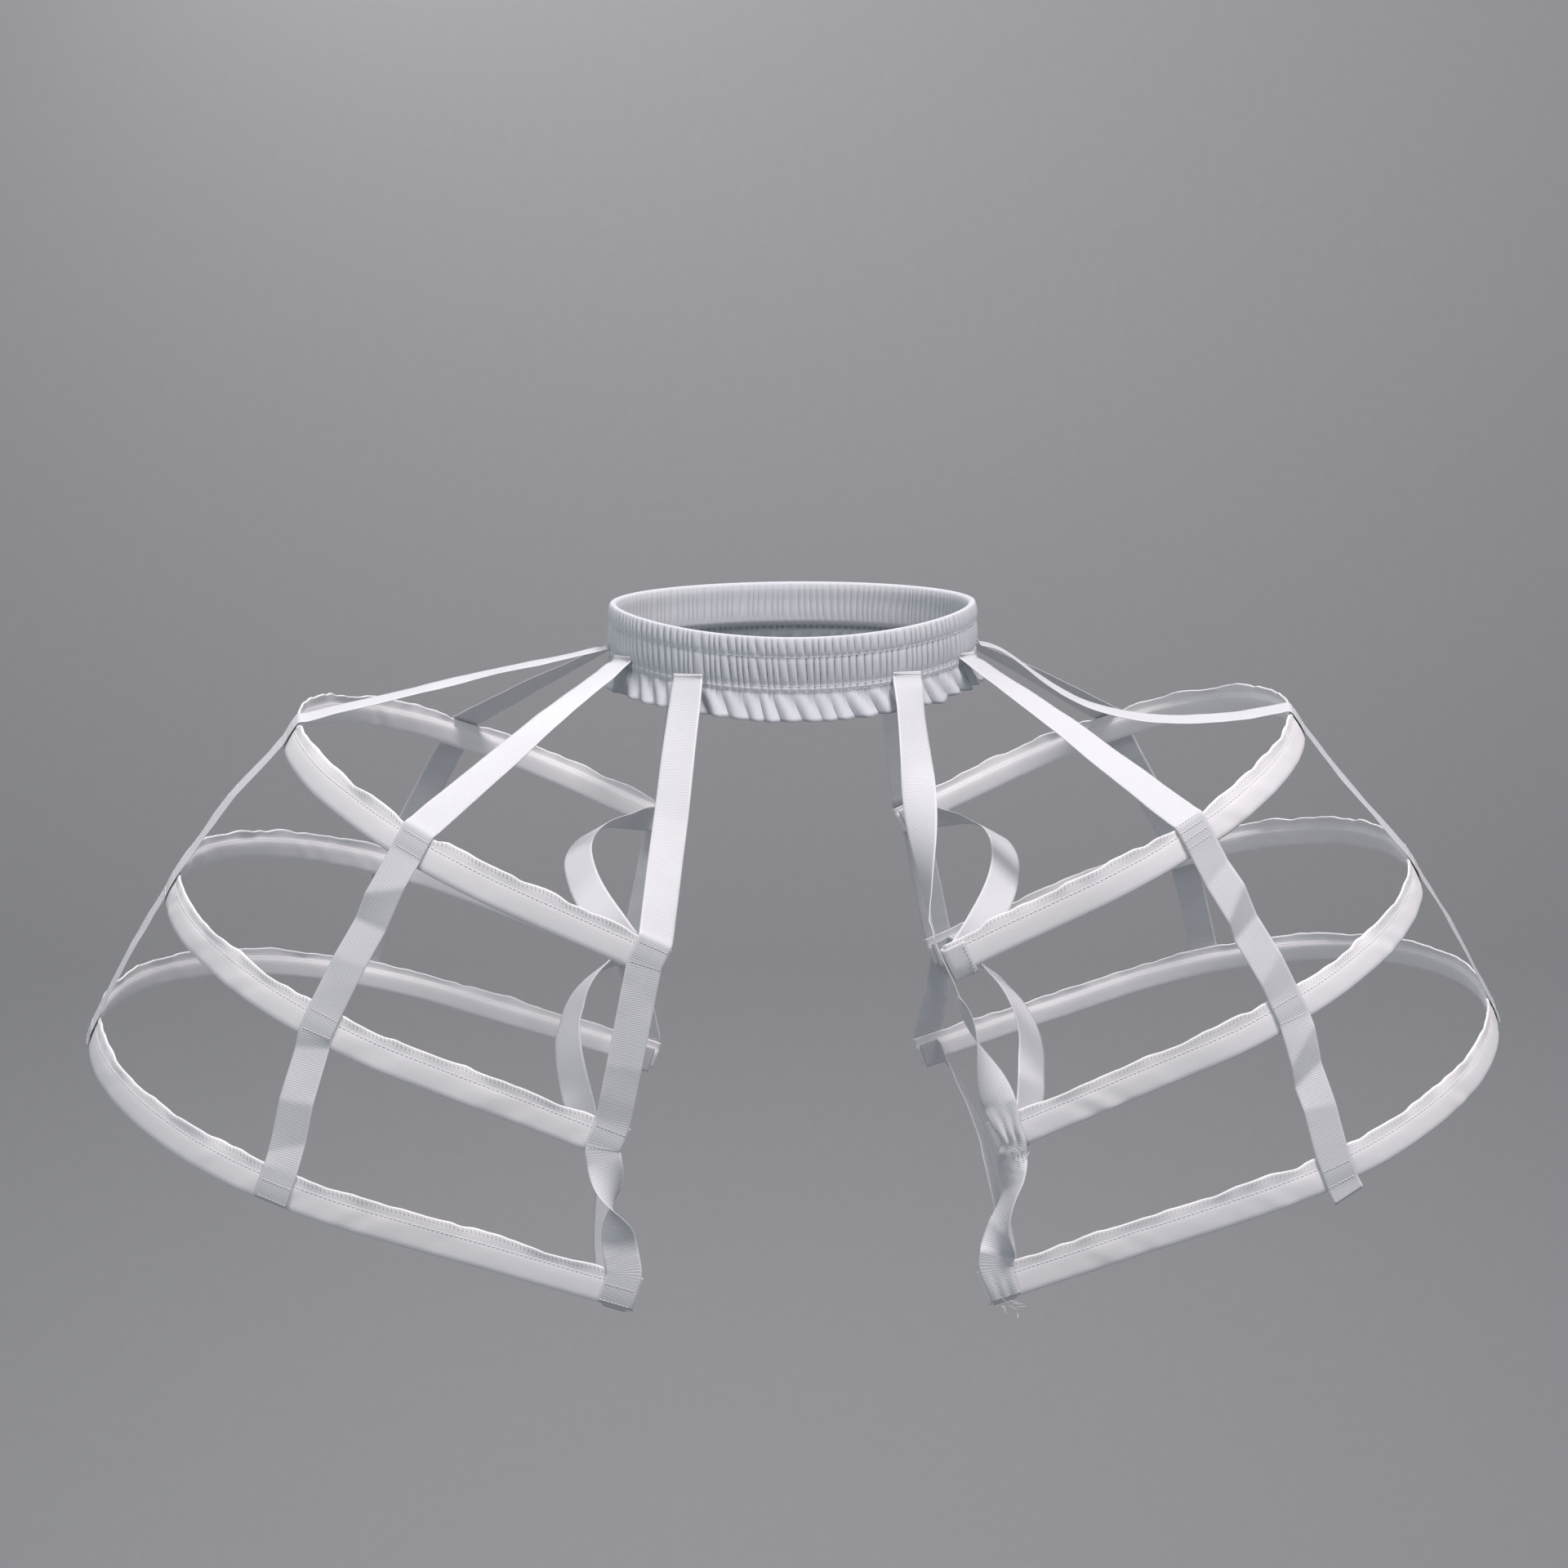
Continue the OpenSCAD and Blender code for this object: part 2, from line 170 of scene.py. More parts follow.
def hoop_dir(i, d, q):
    """A direction of the casing section, out and up, at a distance along the hoop."""
    q = np.asarray(q, float)
    n = bow(i, d)[1]
    out = q[..., 0] * math.cos(LEAN) - q[..., 1] * math.sin(LEAN)
    up = q[..., 0] * math.sin(LEAN) + q[..., 1] * math.cos(LEAN)
    return tilted(i, np.stack([n[..., 0] * out, n[..., 1] * out, up + 0 * n[..., 0]], -1))


def on_hoop(i, d, q):
    """A place in the casing section, out and up, at a distance along the hoop."""
    p = bow(i, d)[0]
    middle = tilted(i, np.concatenate([p, 0 * p[..., :1]], -1)) + (GAP[i], -CAGE_FORWARD, -DROP[i])
    return middle + hoop_dir(i, d, q)


def oval_normal(a):
    return unit(np.stack([np.cos(a) / WAIST_W, np.sin(a) / WAIST_D], -1))


def oval(a, off):
    n = oval_normal(a)
    x = WAIST_W / 2 * np.cos(a) + off * n[..., 0]
    y = WAIST_D / 2 * np.sin(a) + off * n[..., 1]
    return np.stack([x, y], -1)


def oval_out(a):
    n = oval_normal(a)
    return np.concatenate([n, 0 * n[..., :1]], -1)


def band_rise(a):
    """Height of the waistband above its front, round the waist."""
    return SIDE_RISE * (1 - np.maximum(0, -np.sin(a)) ** 2)


def mirrored(side, points):
    return points * (-1, 1, 1) if side == "left" else points


# Mesh helpers

def new_piece(name, verts, faces, uvs=None):
    """A smooth-shaded mesh object from points in millimetres, with a pair of uvs for each face corner."""
    mesh = bpy.data.meshes.new(name)
    mesh.from_pydata((np.asarray(verts, float) * MM).tolist(), [], np.asarray(faces).tolist())
    if uvs is not None:
        layer = mesh.uv_layers.new(name="cloth")
        layer.uv.foreach_set("vector", np.asarray(uvs, np.float32).ravel())
    mesh.validate()
    mesh.shade_smooth()
    piece = bpy.data.objects.new(name, mesh)
    scene.collection.objects.link(piece)
    return piece


def grid_piece(name, points, uv, closed=False, flip=False):
    """A sheet of quads over rows of points. A closed sheet joins its last row to its first."""
    m, n = points.shape[:2]
    rows = m if closed else m - 1
    k, j = (g.ravel() for g in np.meshgrid(np.arange(rows), np.arange(n - 1), indexing="ij"))
    k2 = (k + 1) % m
    faces = np.stack([k * n + j, k2 * n + j, k2 * n + j + 1, k * n + j + 1], -1)
    corner_uv = np.stack([uv[k, j], uv[k + 1, j], uv[k + 1, j + 1], uv[k, j + 1]], 1)
    if flip:
        faces = faces[:, ::-1]
        corner_uv = corner_uv[:, ::-1]
    return new_piece(name, points.reshape(-1, 3), faces, corner_uv)


def thicken(piece, thickness):
    shell = piece.modifiers.new("cloth_thickness", "SOLIDIFY")
    shell.thickness = thickness * MM
    shell.offset = 0
    return piece


# Shader helpers

# Sockets of the node that mixes two colours
MIX_FACTOR = 0
MIX_COLOURS = (6, 7)
MIX_RESULT = 2


def is_socket(value):
    return isinstance(value, bpy.types.NodeSocket)


def feed(nt, socket, value):
    """Links a node's output to a socket, or sets a plain value on it."""
    if is_socket(value):
        nt.links.new(value, socket)
    else:
        socket.default_value = value


def add(nt, kind, **values):
    """A shader node whose named inputs or settings get a value or a link."""
    made = nt.nodes.new(kind)
    for key, value in values.items():
        name = key.replace("_", " ")
        if name in made.inputs:
            feed(nt, made.inputs[name], value)
        else:
            setattr(made, key, value)
    return made


def maths(nt, operation, a, b=0.0):
    made = nt.nodes.new("ShaderNodeMath")
    made.operation = operation
    for socket, value in zip(made.inputs, (a, b)):
        feed(nt, socket, value)
    return made.outputs[0]


def weighed(nt, *pairs):
    """Sum of two values, each times its weight."""
    a, b = (maths(nt, "MULTIPLY", value, weight) for value, weight in pairs)
    return maths(nt, "ADD", a, b)


def waves(nt, value, pitch):
    return maths(nt, "SINE", maths(nt, "MULTIPLY", value, 2 * math.pi / pitch))


def raised(nt, wave):
    """Brings a wave from between -1 and 1 to between 0 and 1."""
    return maths(nt, "ADD", maths(nt, "MULTIPLY", wave, 0.5), 0.5)


def noise(nt, place, scale, detail):
    return add(nt, "ShaderNodeTexNoise", Vector=place, Scale=scale, Detail=detail).outputs[0]


def thread_noise(nt, uv, scale):
    place = add(nt, "ShaderNodeMapping", Vector=uv, Scale=scale).outputs[0]
    return noise(nt, place, scale=1.0, detail=3.0)


def object_place(nt):
    return add(nt, "ShaderNodeTexCoord").outputs["Object"]


def cloth_places(nt):
    """The cloth's own coordinates in metres: as one vector, across and along."""
    uv = add(nt, "ShaderNodeUVMap", uv_map="cloth").outputs[0]
    parts = add(nt, "ShaderNodeSeparateXYZ", Vector=uv)
    return uv, parts.outputs[0], parts.outputs[1]


def mixed(nt, factor, *colours):
    made = nt.nodes.new("ShaderNodeMix")
    made.data_type = "RGBA"
    nt.links.new(factor, made.inputs[MIX_FACTOR])
    for k, colour in zip(MIX_COLOURS, colours):
        feed(nt, made.inputs[k], colour if is_socket(colour) else (*colour, 1.0))
    return made.outputs[MIX_RESULT]


def spread(nt, value, given, wanted=(0.0, 1.0)):
    """Carries a value from a given range into a wanted one."""
    made = add(nt, "ShaderNodeMapRange", Value=value, From_Min=given[0], From_Max=given[1],
               To_Min=wanted[0], To_Max=wanted[1])
    return made.outputs[0]


def start_material(name, roughness, sheen=0.0):
    made = bpy.data.materials.new(name)
    made.use_nodes = True
    nt = made.node_tree
    shader = nt.nodes["Principled BSDF"]
    for key, value in (("Roughness", roughness), ("Sheen Weight", sheen),
                       ("Sheen Roughness", 0.4), ("Specular IOR Level", 0.2)):
        shader.inputs[key].default_value = value
    return made, nt, shader


def surface(nt, shader, colour, height, strength, depth):
    nt.links.new(colour, shader.inputs["Base Color"])
    bump = add(nt, "ShaderNodeBump", Strength=strength, Distance=depth, Height=height)
    nt.links.new(bump.outputs[0], shader.inputs["Normal"])


# Materials

# Ranges that are carried into a colour or a roughness
CLOUD_RANGE = (0.3, 0.7)
GRAIN_RANGE = (0.2, 0.85)
STAIN_RANGE = (0.5, 0.75)
MARK_RANGE = (0.5, 0.8)
BODY_RANGE = (0.15, 0.85)
RUN_RANGE = (0.4, 0.7)
RIBBED_RANGE = (0.1, 0.9)

# Woven cloth
SLUB_SCALE = (900.0, 90.0, 1.0)
STAIN_AMOUNT = 0.35
WEAVE_WEIGHT = 0.4
SLUB_WEIGHT = 0.6
GRAIN_RELIEF = 0.35
CLOUD_RELIEF = 1.2
ROUGHNESS_CHANGE = 0.08
# Painted shade in the valleys of folds: the pointiness range that is darkened, and the colour of that shade
HOLLOW_SHADE_RANGE = (0.44, 0.5)
PAINTED_HOLLOW_SHADE = (0.2, 0.22, 0.26)

# Ribbon
RIB_PITCH = 0.00125
EDGE_RANGE = (0.0088, 0.0092)
FIBRE_SCALE = (250.0, 1600.0, 1.0)
RIB_WEIGHT = 0.6
FIBRE_WEIGHT = 0.4
EDGE_RELIEF = 0.9
RIBBON_DARK = (0.54, 0.56, 0.59)
RIBBON_LIGHT = (0.71, 0.72, 0.735)
RIBBON_MARKS = (0.61, 0.6, 0.585)
MARK_AMOUNT = 0.25
RIBBON_EDGE = (0.7, 0.705, 0.715)
RIBBON_ROUGHNESS = (0.42, 0.58)

# Sewing thread
THREAD_DARK = (0.66, 0.67, 0.7)
THREAD_LIGHT = (0.88, 0.88, 0.88)
THREAD_RUNS = (0.74, 0.73, 0.71)
RUN_AMOUNT = 0.3

# Elastic and bones
RIBBED_WEIGHT = 0.3


def woven_material(name, light, dark, tint, thread, roughness, sheen, hollow_shade=0.0):
    """Plain-woven cloth: a fine weave, slubs along one thread, a slow change of tint and, where asked for,
    painted shade that darkens the valleys between its folds."""
    made, nt, shader = start_material(name, roughness, sheen)
    uv, across, along = cloth_places(nt)
    weave = raised(nt, maths(nt, "MULTIPLY", waves(nt, across, thread), waves(nt, along, thread)))
    slubs = thread_noise(nt, uv, SLUB_SCALE)
    place = object_place(nt)
    clouds = noise(nt, place, scale=34.0, detail=4.0)
    stains = noise(nt, place, scale=9.0, detail=2.0)
    grain = weighed(nt, (weave, WEAVE_WEIGHT), (slubs, SLUB_WEIGHT))
    colour = mixed(nt, spread(nt, grain, GRAIN_RANGE), dark, light)
    colour = mixed(nt, spread(nt, stains, STAIN_RANGE, (0.0, STAIN_AMOUNT)), colour, tint)
    # Painted shade: valleys between folds, found by the mesh's pointiness, are darkened toward the shade
    # colour
    if hollow_shade:
        bend = add(nt, "ShaderNodeNewGeometry").outputs["Pointiness"]
        colour = mixed(nt, spread(nt, bend, HOLLOW_SHADE_RANGE, (hollow_shade, 0.0)), colour, PAINTED_HOLLOW_SHADE)
    rough = spread(nt, clouds, CLOUD_RANGE, (roughness - ROUGHNESS_CHANGE, roughness + ROUGHNESS_CHANGE))
    nt.links.new(rough, shader.inputs["Roughness"])
    relief = weighed(nt, (grain, GRAIN_RELIEF), (clouds, CLOUD_RELIEF))
    surface(nt, shader, colour, relief, strength=0.35, depth=0.0004)
    return made


def grosgrain_material(name):
    """Ribbed ribbon: ribs across its width, a smooth woven edge on both sides and faint handling marks."""
    made, nt, shader = start_material(name, roughness=0.5, sheen=0.25)
    uv, across, along = cloth_places(nt)
    ribs = raised(nt, waves(nt, along, RIB_PITCH))
    off = maths(nt, "ABSOLUTE", maths(nt, "SUBTRACT", across, RIBBON_W / 2 * MM))
    edge = spread(nt, off, EDGE_RANGE)
    fibres = thread_noise(nt, uv, FIBRE_SCALE)
    clouds = noise(nt, object_place(nt), scale=26.0, detail=4.0)
    body = weighed(nt, (ribs, RIB_WEIGHT), (fibres, FIBRE_WEIGHT))
    colour = mixed(nt, spread(nt, body, BODY_RANGE), RIBBON_DARK, RIBBON_LIGHT)
    colour = mixed(nt, spread(nt, clouds, MARK_RANGE, (0.0, MARK_AMOUNT)), colour, RIBBON_MARKS)
    colour = mixed(nt, edge, colour, RIBBON_EDGE)
    nt.links.new(spread(nt, clouds, CLOUD_RANGE, RIBBON_ROUGHNESS), shader.inputs["Roughness"])
    relief = weighed(nt, (body, maths(nt, "SUBTRACT", 1.0, edge)), (edge, EDGE_RELIEF))
    surface(nt, shader, colour, relief, strength=0.42, depth=0.00025)
    return made


def thread_material(name):
    """Twisted polyester sewing thread."""
    made, nt, shader = start_material(name, roughness=0.38, sheen=0.2)
    place = object_place(nt)
    plies = noise(nt, place, scale=2400.0, detail=2.0)
    runs = noise(nt, place, scale=60.0, detail=2.0)
    colour = mixed(nt, spread(nt, plies, CLOUD_RANGE), THREAD_DARK, THREAD_LIGHT)
    colour = mixed(nt, spread(nt, runs, RUN_RANGE, (0.0, RUN_AMOUNT)), colour, THREAD_RUNS)
    surface(nt, shader, colour, plies, strength=0.4, depth=0.0001)
    return made


def ribbed_material(name, light, dark, pitch, roughness):
    """Ribs one above the other, for the hidden elastic and the plastic bones."""
    made, nt, shader = start_material(name, roughness)
    place = object_place(nt)
    height = add(nt, "ShaderNodeSeparateXYZ", Vector=place).outputs[2]
    grain = noise(nt, place, scale=700.0, detail=3.0)
    body = weighed(nt, (waves(nt, height, pitch), RIBBED_WEIGHT), (grain, 1.0))
    colour = mixed(nt, spread(nt, body, RIBBED_RANGE), dark, light)
    surface(nt, shader, colour, body, strength=0.3, depth=0.0002)
    return made


# The gathered cloth is greyer and bluer than the casing cloth: partly a duller cloth, partly painted shade
# laid over the whole waistband
GATHERED = woven_material(
    "gathered_cloth", light=(0.67, 0.69, 0.72), dark=(0.56, 0.585, 0.625), tint=(0.63, 0.63, 0.63),
    thread=0.0006, roughness=0.75, sheen=0.2, hollow_shade=0.8)
CASING = woven_material(
    "casing_cloth", light=(0.91, 0.9, 0.905), dark=(0.83, 0.83, 0.85), tint=(0.86, 0.83, 0.815),
    thread=0.0005, roughness=0.82, sheen=0.2)
RIBBON = grosgrain_material("grosgrain_ribbon")
THREAD = thread_material("sewing_thread")
ELASTIC = ribbed_material(
    "knitted_elastic", light=(0.88, 0.87, 0.84), dark=(0.66, 0.65, 0.62), pitch=0.0014, roughness=0.75)
BONE = ribbed_material(
    "plastic_bone", light=(0.84, 0.84, 0.82), dark=(0.74, 0.74, 0.73), pitch=0.0005, roughness=0.45)


def paint(piece, material):
    piece.data.materials.clear()
    piece.data.materials.append(material)


def dress(piece, material):
    paint(piece, material)
    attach(piece, "root")
    return piece


# Sewing thread: rings of a stitch, at shares of its length and heights counted in its radius

STITCH_RINGS = np.array([[-0.5, -0.9], [-0.32, 0.75], [0.32, 0.75], [0.5, -0.9]])
STITCH_SIDES = 4
RIBBON_THREAD = 0.17


def stitch_faces(first):
    """Faces of one stitch whose first corner has the given number."""
    n = STITCH_SIDES
    faces = []
    for k in range(len(STITCH_RINGS) - 1):
        low = first + k * n
        high = low + n
        for j in range(n):
            j2 = (j + 1) % n
            faces.append([low + j, low + j2, high + j2, high + j])
    last = first + (len(STITCH_RINGS) - 1) * n
    faces.append([first + j for j in range(n)][::-1])
    faces.append([last + j for j in range(n)])
    return faces


def stitches(name, rows, radius):
    """One mesh of short bent threads. A row has middles, directions along and up, and a stitch's length."""
    verts = []
    faces = []
    around = np.arange(STITCH_SIDES) * 2 * math.pi / STITCH_SIDES + math.pi / 4
    for middles, along, up, length in rows:
        along = unit(along)
        up = without(up, along)
        beside = np.cross(along, up)
        for p, t, u, b in zip(middles, along, up, beside):
            faces += stitch_faces(len(verts))
            for place, height in STITCH_RINGS:
                middle = p + t * place * length + u * height * radius
                verts.extend(middle + radius * (math.cos(a) * u + math.sin(a) * b) for a in around)
    return dress(new_piece(name, verts, faces), THREAD)


# Gathered waistband: one strip of cloth that runs up the outside, over the top and down inside

FINE_FOLDS = 150
FINE_COLUMNS = 8
FRILL_FOLDS = 56
MIDDLE_STITCH = 2.9
LOWER_STITCH = BAND_LOW
FRILL_STITCH = BAND_LOW - 3.6
STITCH_IN = 1.5
INSIDE_FACE = -5.2

# Rows of points from the hem to the lower edge inside
FRILL_ROWS = 9
TUCK_ROWS = 4
LOW_ROWS = 9
TOP_ROWS = 8
INSIDE_ROWS = 8
TOP_ROWS_END = BAND_TOP - 0.6
TOP_GATHERS_END = BAND_TOP + 2.0
INSIDE_START = BAND_TOP - 1.6
# Rows over the top edge: off the waist, share of the folds' depth, height
TOP_ROLL = ((-1.9, 0.4, BAND_TOP - 0.1), (-2.7, 0.2, BAND_TOP + 0.2), (-3.9, 0.0, BAND_TOP + 0.15),
            (INSIDE_FACE + 0.4, 0.0, BAND_TOP - 0.4))

# Unevenness of the gathers: its size, how many values go round the waist and the seed of its draws
SWING_CHANGE = (0.4, 40, 3)
LEAN_CHANGE = (0.022, 14, 4)
FINE_SHIFT = (0.4, 75, 5)
DEPTH_CHANGE = (0.18, 90, 6)
FRILL_SHIFT = (0.5, 34, 7)
HEM_DROP = (1.2, 44, 8)

# Forms of the folds
FOLD_DEPTH = 2.4
FOLD_LEAN = 0.008
RIDGE_POWER = 0.65
PUFF_POWER = 0.6
STITCHED_FOLDS = 0.3
TUCK_PUFF = 0.9
TUCK_FOLDS = 0.25
TOP_TURN = 0.27
TOP_DRAWN = 1.3
FLAT_AT = 3.0
INSIDE_TURN = 0.5
INSIDE_PUFF = 0.9

# Forms of the frill
FRILL_SLANT = 0.5
FRILL_FLARE = 3.2
FRILL_SWING = 2.1
FRILL_SWAY = 1.9
FRILL_GROWTH = 0.75
SECOND_SWING = 0.25
SECOND_PHASE = 0.7
FRILL_FINE = 0.5
FINE_FADE = 3

WAIST_PITCH = 2.6
WAIST_STITCH = 2.0
WAIST_STITCH_OUT = 0.45


def waist_columns(count):
    """Angles round the waist at even steps of length, and its length round."""
    fine = np.linspace(0, 2 * math.pi, num=4001)
    run = run_along(oval(fine, 0.0))
    wanted = np.arange(count) / count * run[-1]
    return np.interp(wanted, run, fine), wanted, run[-1]


def fold_shape(turns):
    """Height of a gathered fold from 0 to 1: broad round ridges with narrow valleys."""
    return np.abs(np.cos(math.pi * turns)) ** RIDGE_POWER


def between(z, low, high):
    """1 in the middle of a row of gathers and 0 at its two stitch lines."""
    t = np.clip((z - low) / (high - low), 0, 1)
    return np.sin(math.pi * t) ** PUFF_POWER


def gathers(body, ridge, depth):
    """How far a row of gathers stands off the waist."""
    stitched = -STITCH_IN + STITCHED_FOLDS * ridge
    return stitched * (1 - body) - depth * body * (1 - ridge)


def waistband_rows(run, length):
    """Rows of the cloth, each as places off the waist, heights and shifts round it. Also gives the number
    of the row with the deepest folds."""

    def around(kind):
        size, number, seed = kind
        return size * wobble(run, length / number, seed, number)

    lean = FOLD_LEAN + around(LEAN_CHANGE)
    fine = FINE_FOLDS * run / length + around(FINE_SHIFT)
    depth = FOLD_DEPTH * (1 - DEPTH_CHANGE[0] + around(DEPTH_CHANGE))
    wide = FRILL_FOLDS * run / length + around(FRILL_SHIFT)
    rows = []

    def row(off, z, shift=0.0):
        rows.append((off + 0 * run, z + 0 * run, shift + 0 * run))

    for share in np.linspace(1, 0, FRILL_ROWS):
        down = share * (FRILL_H - (BAND_LOW - FRILL_STITCH))
        turns = 2 * math.pi * (wide - FRILL_SLANT * down * FRILL_FOLDS / length)
        swing = np.cos(turns) + SECOND_SWING * np.cos(2 * turns + SECOND_PHASE)
        tiny = FRILL_FINE * fold_shape(fine) * (1 - share) ** FINE_FADE
        grow = share ** FRILL_GROWTH
        off = mix(-STITCH_IN, FRILL_FLARE, share) + FRILL_SWING * grow * swing * (1 + around(SWING_CHANGE))
        row(off + tiny, FRILL_STITCH - down + share * around(HEM_DROP), FRILL_SWAY * grow * np.sin(turns))
    for z in np.linspace(FRILL_STITCH, LOWER_STITCH, TUCK_ROWS)[1:]:
        body = between(z, FRILL_STITCH, LOWER_STITCH)
        puff = TUCK_PUFF * body * fold_shape(fine + lean * (z - LOWER_STITCH))
        row(-STITCH_IN + puff + TUCK_FOLDS * fold_shape(fine), z)
    deepest = len(rows) + LOW_ROWS // 2
    for z in np.linspace(LOWER_STITCH, MIDDLE_STITCH, LOW_ROWS)[1:]:
        body = between(z, LOWER_STITCH, MIDDLE_STITCH)
        row(gathers(body, fold_shape(fine + lean * (z - LOWER_STITCH)), depth), z)
    for z in np.linspace(MIDDLE_STITCH, TOP_ROWS_END, TOP_ROWS)[1:]:
        body = between(z, MIDDLE_STITCH, TOP_GATHERS_END)
        ridge = fold_shape(fine + TOP_TURN + lean * (z - MIDDLE_STITCH))
        drawn = TOP_DRAWN * ((z - MIDDLE_STITCH) / (BAND_TOP - MIDDLE_STITCH)) ** 2
        row(gathers(body, ridge, depth * (1 - drawn / FLAT_AT)) - drawn, z)
    ridge = fold_shape(fine + TOP_TURN + lean * (BAND_TOP - MIDDLE_STITCH))
    for off, share, z in TOP_ROLL:
        row(off - share * depth * (1 - ridge), z)
    for z in np.linspace(INSIDE_START, LOWER_STITCH, INSIDE_ROWS):
        low = MIDDLE_STITCH if z > MIDDLE_STITCH else LOWER_STITCH
        high = BAND_TOP if z > MIDDLE_STITCH else MIDDLE_STITCH
        puff = INSIDE_PUFF * between(z, low, high) * fold_shape(fine + INSIDE_TURN + lean * z)
        row(INSIDE_FACE - puff, z)
    return rows, deepest


def waist_seams(length):
    """Rows of stitches along the waistband's three stitch lines."""
    number = int(length / WAIST_PITCH)
    at = waist_columns(number)[0]
    places = oval(at, WAIST_STITCH_OUT - STITCH_IN)
    seams = []
    for z in (MIDDLE_STITCH, LOWER_STITCH, FRILL_STITCH):
        middles = np.concatenate([places, (z + band_rise(at))[:, None]], -1)
        ahead = np.roll(middles, -1, axis=0) - np.roll(middles, 1, axis=0)
        seams.append((middles, ahead, oval_out(at), WAIST_STITCH))
    return seams


def make_waistband():
    a, run, length = waist_columns(FINE_FOLDS * FINE_COLUMNS)
    rows, deepest = waistband_rows(run, length)
    off, z, shift = (np.stack(values, 1) for values in zip(*rows))
    angle = a[:, None] + shift / ((WAIST_W + WAIST_D) / 4)
    points = np.concatenate([oval(angle, off), (z + band_rise(angle))[..., None]], -1)
    steps = np.linalg.norm(np.diff(points, axis=1), axis=2).mean(0)
    up = np.concatenate([[0], np.cumsum(steps)])
    gathered = run_along(np.concatenate([points[:, deepest], points[:1, deepest]]))
    uv = np.stack(np.meshgrid(gathered, up, indexing="ij"), -1) * MM
    piece = thicken(grid_piece("waistband_cloth", points, uv, closed=True), thickness=0.45)
    dress(piece, GATHERED)
    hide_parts("waistband")
    thread = stitches("waistband_stitches", waist_seams(length), radius=0.2)


# Casings: a strip of cloth folded round the bone, sewn below its two free edges, which stand up as a flange

# Places of the section, out and up: down the outside, then up the inside
CASING_PROFILE = np.array([
    [1.0, 13.5], [1.12, 12.6], [1.22, 11.0], [1.27, 9.4], [1.27, 8.2], [1.34, 7.3], [1.56, 6.3],
    [1.73, 4.6], [1.8, 1.9], [1.82, -1.0], [1.78, -3.8], [1.6, -5.8], [1.0, -7.0], [0.0, -7.4],
    [-1.0, -7.0], [-1.6, -5.8], [-1.78, -3.8], [-1.82, -1.0], [-1.8, 1.9], [-1.7, 4.6], [-1.2, 6.3],
    [-0.3, 7.3], [0.3, 8.2], [0.5, 9.4], [0.52, 11.0], [0.48, 12.6], [0.42, 13.5],
])
# Places in that row: both ends of an edge stitch, and the seam on both sides
EDGE_HIGH = 0
EDGE_LOW = 2
SEAM_COLUMNS = (5, len(CASING_PROFILE) - 6)
SEAM_HEIGHT = 7.6
POCKET_FADE = 4.0
CASING_STEP = 3.0
CASING_OVER = 0.6

# Unevenness of a casing: its size and its pitch along the hoop
RISE_SLOW = (1.0, 19)
RISE_QUICK = (0.6, 7)
FLOP_SLOW = (1.0, 25)
FLOP_QUICK = (0.5, 9)
FULLNESS = (0.11, 31)
PUFFS = (0.48, 9)
PUFFED = (1.0, 40)
POCKET_RISE = (0.25, 30)
PUFFED_OVER = 0.6
PUFF_DRAG = 0.9
FLOP_POWER = 1.4

# How far a ribbon presses the flange of each hoop down, and how the flange comes free beside it
PRESSED = (2.0, 0.0, 0.0)
PRESSED_FADE = (1.0, 8.0)

# How a casing closes at its ends, and where its puffs begin
END_CLOSE = 0.4
END_FADE = (0.0, 5.0)
PUFFS_AT_END = 0.4
PUFFS_FADE = (8.0, 12.0)

# Stitches of a casing's seam and of its edge
SEAM_MARGIN = 4.0
SEAM_PITCH = 2.7
SEAM_STITCH = 2.1
SEAM_OUT = 0.3
HALF_STEP = 0.5
EDGE_MARGIN = 3.0
EDGE_PITCH = 2.4
EDGE_STITCH = 2.6
EDGE_SLANT = 1.3
EDGE_LOW_SHIFT = (0.3, 0.0)
EDGE_HIGH_SHIFT = (0.25, -0.2)


def casing_shape(i, d, seed):
    """Sections of a casing at distances along its hoop, as places out and up."""
    section = CASING_PROFILE[None] * np.ones((len(d), 1, 1))
    x = section[..., 0]
    y = section[..., 1]
    above = np.clip((y - SEAM_HEIGHT) / (FLANGE_TOP - SEAM_HEIGHT), 0, 1)
    pocket = np.clip((SEAM_HEIGHT - y) / POCKET_FADE, 0, 1)
    near = np.min([np.abs(d - ribbon_place(r, i)) for r in range(len(RIBBONS))], axis=0)
    loose = fade(near - RIBBON_W / 2, PRESSED_FADE)
    rise = (uneven(d, RISE_SLOW, seed) + uneven(d, RISE_QUICK, seed + 1)) * loose - PRESSED[i] * (1 - loose)
    flop = (uneven(d, FLOP_SLOW, seed + 2) + uneven(d, FLOP_QUICK, seed + 3)) * loose
    full = 1 + uneven(d, FULLNESS, seed + 4)
    end = np.minimum(d, HOOP_LENGTH[i] - d) + CASING_OVER
    puffed = np.clip(uneven(d, PUFFED, seed + 6) + PUFFED_OVER, 0, 1)
    puffed = puffed * mix(PUFFS_AT_END, 1.0, fade(end, PUFFS_FADE))
    puffs = uneven(d[:, None] + PUFF_DRAG * y, PUFFS, seed + 5) * puffed[:, None]
    close = mix(END_CLOSE, 1.0, fade(end, END_FADE))
    x = x * (full * close)[:, None] + puffs * pocket * np.sign(x) + flop[:, None] * above ** FLOP_POWER
    y = y + rise[:, None] * above + uneven(d, POCKET_RISE, seed + 7)[:, None] * (1 - above)
    return np.stack([x, y], -1)


